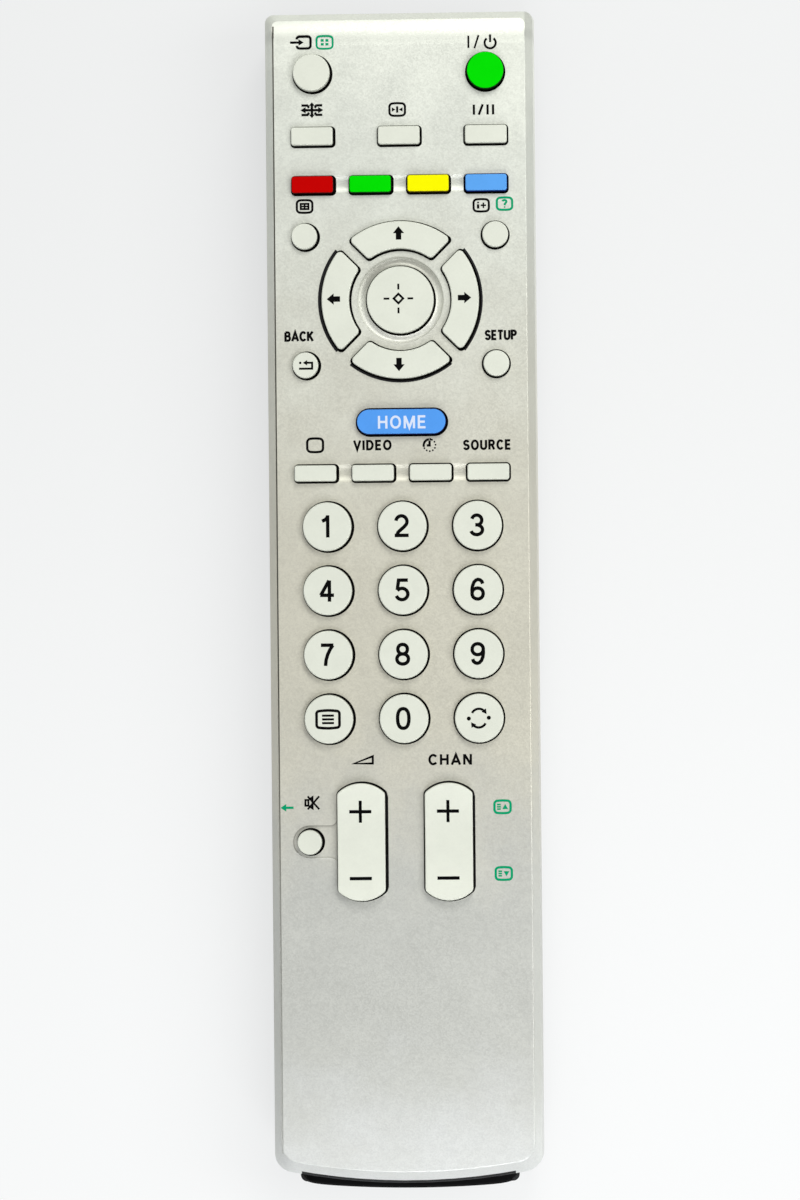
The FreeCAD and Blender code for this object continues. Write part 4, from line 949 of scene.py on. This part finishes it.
def draw_arrow(prints, x, y, turn, length, head, wide, stem):
    """Solid arrow, its middle at a place, pointing along a turn in degrees."""
    half = length / 2
    outline = [(half, 0), (half - head, wide / 2), (half - head, stem / 2), (-half, stem / 2),
               (-half, -stem / 2), (half - head, -stem / 2), (half - head, -wide / 2)]
    prints.fill([(x + across, y + up) for across, up in turned(outline, turn)])


def stroke_screen(prints, width, height, weight, corner=0.5, bulge=0.12):
    """Outline of a screen."""
    prints.stroke(screen_shape(width, height, corner, bulge), weight)


def block(prints, x, y, width, height):
    """Small filled box."""
    prints.fill([(x + width / 2, y + height / 2), (x - width / 2, y + height / 2),
                 (x - width / 2, y - height / 2), (x + width / 2, y - height / 2)])


def draw_input(prints):
    """Arrow into a box."""
    shifted = [(x + 0.52, y) for x, y in screen_shape(2.45, 2.05, 0.45, 0.05)[:-1]]
    gap = [point for point in shifted if not (point[0] < -0.3 and abs(point[1]) < 0.4)]
    turn = next(index for index, point in enumerate(gap) if point[0] < -0.3 and point[1] < 0)
    prints.stroke(gap[turn:] + gap[:turn], 0.43)
    prints.stroke([(-1.9, 0), (-0.3, 0)], 0.4)
    draw_arrow(prints, 0.05, 0, 0, 0.95, 0.9, 1.12, 0.27)


def draw_mosaic(prints):
    """Box with four small squares."""
    stroke_screen(prints, 2.85, 2.05, 0.34)
    for side in (-1, 1):
        for end in (-1, 1):
            block(prints, side * 0.42, end * 0.34, 0.52, 0.44)


def draw_power(prints):
    """Bar, slash and power ring."""
    prints.stroke([(-2.5, -1.1), (-2.5, 1.08)], 0.34)
    prints.stroke([(-1.45, -1.15), (-0.7, 1.15)], 0.32)
    prints.stroke(arc(1.35, -0.22, 0.98, 0.98, 128, 412, 30), 0.38)
    prints.stroke([(1.35, -0.1), (1.35, 1.25)], 0.38)


def draw_zoom(prints):
    """Arrows to four sides between brackets."""
    prints.stroke([(0, -0.95), (0, 0.95)], 0.44)
    prints.stroke([(-1.4, 0), (1.4, 0)], 0.44)
    for side in (1, -1):
        draw_arrow(prints, side * 1.56, 0, 90 - side * 90, 0.95, 0.93, 1.12, 0.2)
    for end in (1, -1):
        draw_arrow(prints, 0, end * 1.08, 180 - end * 90, 0.64, 0.62, 1.05, 0.2)
    for side in (-1, 1):
        for end in (-1, 1):
            corner = (side * 0.8, end * 0.84)
            prints.stroke([(side * 1.85, end * 0.84), corner, (side * 0.5, end * 0.42)], 0.42)


def draw_freeze(prints):
    """Screen with two marks against a bar."""
    stroke_screen(prints, 2.75, 2.0, 0.39)
    prints.stroke([(0, -0.55), (0, 0.55)], 0.38)
    for side in (-1, 1):
        prints.fill([(side * 0.3, 0), (side * 0.95, side * 0.38), (side * 0.95, -side * 0.38)])


def draw_guide(prints):
    """Screen with an open page."""
    stroke_screen(prints, 2.75, 2.0, 0.4)
    prints.stroke([(-0.68, -0.46), (-0.68, 0.46), (0.68, 0.46), (0.68, -0.46), (-0.68, -0.46)], 0.36)
    prints.stroke([(0, -0.46), (0, 0.46)], 0.32)
    prints.stroke([(-0.68, 0), (0.68, 0)], 0.28)


def draw_info(prints):
    """Screen with the letter i and a plus."""
    stroke_screen(prints, 2.7, 1.95, 0.39)
    prints.stroke([(-0.55, -0.58), (-0.55, 0.18)], 0.43)
    block(prints, -0.55, 0.5, 0.3, 0.27)
    block(prints, 0.38, 0, 0.95, 0.27)
    block(prints, 0.38, 0, 0.27, 0.95)


def draw_help(prints):
    """Screen with a question mark."""
    stroke_screen(prints, 2.7, 1.95, 0.39)
    prints.stroke(arc(0, 0.36, 0.34, 0.28, 170, -50) + [(0.06, -0.06), (0.02, -0.3)], 0.36)
    block(prints, 0.02, -0.6, 0.27, 0.24)


def draw_screen(prints):
    """Plain screen."""
    stroke_screen(prints, 2.8, 2.15, 0.42, 0.55, 0.14)


def draw_timer(prints):
    """Dial, a line at its upper left and dots round the rest, with two hands and an arrowhead."""
    prints.stroke(arc(0, 0, 1.05, 1.05, 95, 195, 14), 0.4)
    for index in range(8):
        angle = math.radians(66 - index * 31)
        prints.fill(circle(1.05 * math.cos(angle), 1.05 * math.sin(angle), 0.16, 10))
    prints.stroke([(0, 0.78), (0, -0.02), (-0.5, -0.02)], 0.42)
    prints.fill([(0.42, 1.05), (0.0, 1.38), (0.0, 0.72)])


def draw_volume(prints):
    """Rising wedge."""
    prints.stroke([(-1.62, -0.66), (1.72, 0.62), (1.72, -0.66), (-1.62, -0.66)], 0.38)


def draw_mute(prints):
    """Loudspeaker with a cross over it."""
    prints.stroke([(-1.15, -0.5), (-1.15, 0.5), (-0.62, 0.5), (-0.62, -0.5), (-1.15, -0.5)], 0.34)
    prints.stroke([(-0.62, 0.5), (0.12, 1.0), (0.12, -1.0), (-0.62, -0.5)], 0.34)
    prints.stroke([(-0.75, 1.15), (1.3, -1.15)], 0.34)
    prints.stroke([(-0.75, -1.15), (1.3, 1.15)], 0.34)


def draw_page(rise):
    """Drawing call for a screen with lines of text and a mark that points up where rise is positive."""
    def draw(prints):
        stroke_screen(prints, 2.85, 2.0, 0.42)
        for end in (-1, 0, 1):
            prints.stroke([(-0.95, end * 0.4), (-0.3, end * 0.4)], 0.28)
        prints.fill([(0.48, rise), (0.48 - rise, -rise * 0.8), (0.48 + rise, -rise * 0.8)])
    return draw


def draw_return(prints):
    """Line turning back with an arrowhead and a dot."""
    prints.stroke([(-1.25, -0.62), (1.08, -0.62), (1.08, 0.42), (0.0, 0.42)], 0.36)
    prints.fill([(-0.55, 0.42), (0.2, 0.9), (0.2, -0.06)])
    prints.fill(circle(-1.02, 0.42, 0.22, 14))


def draw_text_page(prints):
    """Screen with three lines of text."""
    stroke_screen(prints, 4.05, 2.8, 0.48, 0.4, 0.18)
    for end in (-1, 0, 1):
        prints.stroke([(-1.05, end * 0.66), (1.05, end * 0.66)], 0.38)


def draw_swap(prints):
    """Two turning arrows between two dots."""
    for turn in (0, 180):
        prints.stroke(turned(arc(0.02, 0.1, 1.42, 1.55, 148, 50, 16), turn), 0.42)
        prints.fill(turned([(1.38, 0.72), (0.48, 1.12), (1.28, 1.72)], turn))
        prints.fill(turned(circle(1.76, 0.06, 0.36, 20), turn))


def draw_aim(prints):
    """Diamond with four dashes round it."""
    prints.stroke([(0.83, 0), (0, 0.83), (-0.83, 0), (0, -0.83), (0.83, 0)], 0.38)
    for turn in (0, 90, 180, 270):
        prints.stroke(turned([(1.6, 0), (2.62, 0)], turn), 0.35)


def draw_pad_arrow(turn):
    """Drawing call for a direction key's arrow."""
    return lambda prints: draw_arrow(prints, 0, 0, turn, 2.36, 1.22, 2.0, 0.96)


def draw_small_arrow(prints):
    """Small arrow to the left."""
    draw_arrow(prints, 0, 0, 180, 2.3, 1.0, 1.35, 0.42)


# Name, drawing, ink, centre x, centre y, in millimetres
FACE_MARKS = (
    ("input_mark", draw_input, "black", -17.24, 99.02),
    ("mosaic_mark", draw_mosaic, "green", -13.00, 98.99),
    ("power_mark", draw_power, "black", 14.97, 98.70),
    ("zoom_mark", draw_zoom, "black", -15.36, 86.99),
    ("freeze_mark", draw_freeze, "black", -0.24, 86.90),
    ("guide_mark", draw_guide, "black", -16.81, 69.94),
    ("info_mark", draw_info, "black", 14.47, 69.74),
    ("help_mark", draw_help, "green", 18.59, 69.98),
    ("screen_mark", draw_screen, "black", -15.33, 27.61),
    ("timer_mark", draw_timer, "black", 4.95, 27.40),
    ("volume_mark", draw_volume, "black", -7.34, -28.14),
    ("left_mark", draw_small_arrow, "green", -20.89, -36.53),
    ("mute_mark", draw_mute, "black", -16.48, -35.68),
    ("page_up_mark", draw_page(0.5), "green", 17.24, -36.63),
    ("page_down_mark", draw_page(-0.5), "green", 17.36, -48.41),
    ("audio_word", draw_word("I/II", 3.7, 1.78, 0.41, 0.3), "black", 15.03, 86.68),
    ("back_word", draw_word("BACK", 5.0, 1.68, 0.42, 0.18), "black", -18.01, 46.93),
    ("setup_word", draw_word("SETUP", 5.5, 1.68, 0.42, 0.18), "black", 17.72, 46.77),
    ("video_word", draw_word("VIDEO", 6.6, 1.7, 0.41, 0.24), "black", -5.16, 27.53),
    ("source_word", draw_word("SOURCE", 8.3, 1.7, 0.41, 0.24), "black", 15.10, 27.38),
    ("channel_word", draw_word("CHAN", 7.6, 1.86, 0.42, 0.26), "black", 8.07, -28.20),
)

# Node, drawing, centre x, centre y, in millimetres
KEY_MARKS = (
    ("up_key", draw_pad_arrow(90), -0.18, 64.95),
    ("left_key", draw_pad_arrow(180), -11.80, 53.39),
    ("right_key", draw_pad_arrow(0), 11.38, 53.37),
    ("down_key", draw_pad_arrow(270), -0.30, 41.68),
    ("enter_key", draw_aim, -0.30, 53.35),
    ("back_key", draw_return, -16.75, 41.75),
    ("text_key", draw_text_page, -13.42, -20.90),
    ("swap_key", draw_swap, 13.22, -20.90),
)


def ink_of(looks, name):
    """Ink material by colour name, made once."""
    title = name + " ink"
    return bpy.data.materials.get(title) or printing_ink(title, tuple(getattr(looks, name)))


def print_legend(looks, name, draw, ink, x, y, top, body):
    """Print one legend at a place on a surface of this height, riding on a body."""
    prints = Print(x, y, top / MM, looks.height / MM)
    draw(prints)
    prints.build(name, ink_of(looks, ink), body)


class REMOTE_OT_face_print(bpy.types.Operator):
    """Print the legends on the face"""
    bl_idname = "remote.face_print"
    bl_label = "Print the face"

    def execute(self, context):
        looks = context.scene.remote_prints
        for name, draw, ink, x, y in FACE_MARKS:
            print_legend(looks, name, draw, ink, x, y, FACE_TOP, "root")
        return {"FINISHED"}


class REMOTE_OT_key_print(bpy.types.Operator):
    """Print the legends on the keys"""
    bl_idname = "remote.key_print"
    bl_label = "Print the keys"

    def execute(self, context):
        looks = context.scene.remote_prints
        for node, draw, x, y in KEY_MARKS:
            print_legend(looks, node + "_mark", draw, "black", x, y, top_of(node), node)
        for digit, node in enumerate(DIGIT_KEYS):
            x = centre(node).x / MM + SHIFT_X
            y = centre(node).y / MM + SHIFT_Y
            print_legend(looks, node + "_mark", draw_digit(digit), "black", x, y, top_of(node), node)
        for node in ROCKERS:
            self.print_rocker(looks, node)
        home = draw_word("HOME", 8.4, 2.25, 0.40, 0.22)
        print_legend(looks, "home_word", home, "white", 0.11, 31.5, top_of("home_key"), "home_key")
        return {"FINISHED"}

    def print_rocker(self, looks, node):
        """Plus and minus laid over a dished rocker, in short steps that follow its surface."""
        middle = centre(node) / MM
        prints = Print(middle.x + SHIFT_X, middle.y, top_of(node) / MM, looks.height / MM + ROCKER_INK_RISE)

        def surface(x, y):
            start = Vector((x * MM, y * MM, top_of(node) + 0.01))
            return NODES[node].ray_cast(start, Vector((0, 0, -1)))[1].z / MM
        prints.surface = surface
        half = SIGN_HALF
        prints.stroke([(-half, PLUS_Y), (half, PLUS_Y)], BAR_WIDTH)
        prints.stroke([(0, PLUS_Y - half + half * step / 10) for step in range(21)], UPRIGHT_WIDTH)
        prints.stroke([(-half, MINUS_Y), (half, MINUS_Y)], BAR_WIDTH)
        prints.build(node + "_mark", ink_of(looks, "black"), node)


class REMOTE_OT_door_arrow(bpy.types.Operator):
    """Raise an arrow on the underside of the battery door"""
    bl_idname = "remote.door_arrow"
    bl_label = "Make the door arrow"

    def execute(self, context):
        low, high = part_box("battery_door")
        y = high.y / MM - ARROW_INSET
        arrow = Print(centre("battery_door").x / MM, y, low.z / MM + ARROW_ROOT, 0, ARROW_HEIGHT)
        draw_arrow(arrow, 0, 0, 270, 9.0, 4.6, 7.2, 2.8)
        arrow.build("door_arrow", NODES["battery_door"].data.materials[0], "battery_door")
        return {"FINISHED"}


class REMOTE_OT_studio(bpy.types.Operator):
    """Set up the floor, the lights and the camera"""
    bl_idname = "remote.studio"
    bl_label = "Set up the studio"

    def execute(self, context):
        looks = context.scene.remote_studio
        self.lay_floor(looks)
        self.hang_lamp("head_lamp", (0.09, 0.46, 0.46), 0.26, looks.lamp, (1.0, 1.0, 0.965))
        self.hang_lamp("side_lamp", (0.36, 0.03, 0.44), 0.28, looks.side_lamp, (1.0, 1.0, 0.98))
        self.hang_lamp("tail_lamp", (0.06, -0.36, 0.36), 0.26, looks.tail_lamp, (0.96, 0.97, 1.0))
        self.light_room(looks)
        self.place_camera()
        context.scene.view_settings.view_transform = "Standard"
        return {"FINISHED"}

    def lay_floor(self, looks):
        """Wide pale floor just below the object, with a faint tooth, a shade paler towards the tail end as
        painted light.
        """
        finish = Finish("studio floor")
        tooth = finish.noise(0.002, 3.0)
        along = uneven(finish.axis("Y"), (tooth, 0.01))
        tint = finish.tones(along, 0.11, -0.11, shade(looks.floor, 0.97), shade(looks.floor, 1.06))
        bare = finish.node("ShaderNodeBsdfPrincipled", {}, {
            "Base Color": tint, "Roughness": 0.7, "Normal": finish.bump(tooth, 0.00002, 0.3)})
        shown = finish.node("ShaderNodeBsdfPrincipled", {}, {
            "Base Color": (0.0, 0.0, 0.0, 1.0), "Specular IOR Level": 0.0,
            "Emission Color": tint, "Emission Strength": 1.0})
        seen = finish.node("ShaderNodeLightPath", {}, {}, "Is Camera Ray")
        either = finish.node("ShaderNodeMixShader", {}, {0: seen * looks.plain, 1: bare, 2: shown})
        reach = 6.0
        level = -0.00002
        corners = [(x * reach, y * reach, level) for x, y in ((-1, -1), (1, -1), (1, 1), (-1, 1))]
        floor = add_mesh("floor", corners, [(0, 1, 2, 3)], finish.output(either))

    def hang_lamp(self, name, place, size, power, colour):
        """Square soft lamp aimed at the object."""
        lamp = bpy.data.lights.new(name, "AREA")
        lamp.shape = "SQUARE"
        lamp.size = size
        lamp.energy = power
        lamp.color = colour
        hung = add_object(name, lamp)
        hung.location = place
        hung.rotation_euler = (-Vector(place)).to_track_quat("-Z", "Y").to_euler()
        hung.visible_camera = False

    def light_room(self, looks):
        """Even room light, and a white room to the camera."""
        room = Nodes(bpy.data.worlds.new("room"))
        cool = (0.97, 0.985, 1.0, 1.0)
        pale = (*srgb(243, 244, 244), 1.0)
        light = room.node("ShaderNodeBackground", {}, {"Color": cool, "Strength": looks.sky})
        white = room.node("ShaderNodeBackground", {}, {"Color": pale, "Strength": 1.0})
        seen = room.node("ShaderNodeLightPath", {}, {}, "Is Camera Ray")
        either = room.node("ShaderNodeMixShader", {}, {0: seen, 1: light, 2: white})
        bpy.context.scene.world = room.output(either, "ShaderNodeOutputWorld")

    def place_camera(self):
        """Camera over the face, as the photograph was taken."""
        lens = bpy.data.cameras.new("camera")
        lens.sensor_fit = "VERTICAL"
        lens.sensor_height = 36.0
        lens.lens = 106.85
        lens.clip_start = 0.01
        camera = add_object("camera", lens)
        camera.location = (0.02164, -0.00266, 0.65068)
        camera.rotation_euler = tuple(math.radians(turn) for turn in (0.23, 2.02, -0.53))
        bpy.context.scene.camera = camera


STEPS = (
    REMOTE_OT_case_finish,
    REMOTE_OT_tail_strip,
    REMOTE_OT_key_finish,
    REMOTE_OT_inside_finish,
    REMOTE_OT_face_print,
    REMOTE_OT_key_print,
    REMOTE_OT_door_arrow,
    REMOTE_OT_studio,
)


class REMOTE_PT_looks(bpy.types.Panel):
    """Sidebar panel with a button for each step"""
    bl_label = "Remote control"
    bl_idname = "REMOTE_PT_looks"
    bl_space_type = "VIEW_3D"
    bl_region_type = "UI"
    bl_category = "Remote"

    def draw(self, context):
        for step in STEPS:
            self.layout.operator(step.bl_idname)
        for group, kind in GROUPS:
            looks = getattr(context.scene, group)
            for name in looks.__annotations__:
                self.layout.prop(looks, name)


GROUPS = (
    ("remote_case", CaseLooks),
    ("remote_strip", StripLooks),
    ("remote_keys", KeyLooks),
    ("remote_prints", PrintLooks),
    ("remote_studio", StudioLooks),
)


def register():
    """Register the property groups, the operators and the panel."""
    for name, group in GROUPS:
        bpy.utils.register_class(group)
        setattr(bpy.types.Scene, name, bpy.props.PointerProperty(type=group))
    for step in STEPS:
        bpy.utils.register_class(step)
    bpy.utils.register_class(REMOTE_PT_looks)


def unregister():
    """Take everything out again."""
    bpy.utils.unregister_class(REMOTE_PT_looks)
    for step in reversed(STEPS):
        bpy.utils.unregister_class(step)
    for name, group in reversed(GROUPS):
        delattr(bpy.types.Scene, name)
        bpy.utils.unregister_class(group)


def main():
    """Register, then run every step in order."""
    register()
    for step in STEPS:
        group, name = step.bl_idname.split(".")
        getattr(getattr(bpy.ops, group), name)()


if __name__ == "__main__":
    main()
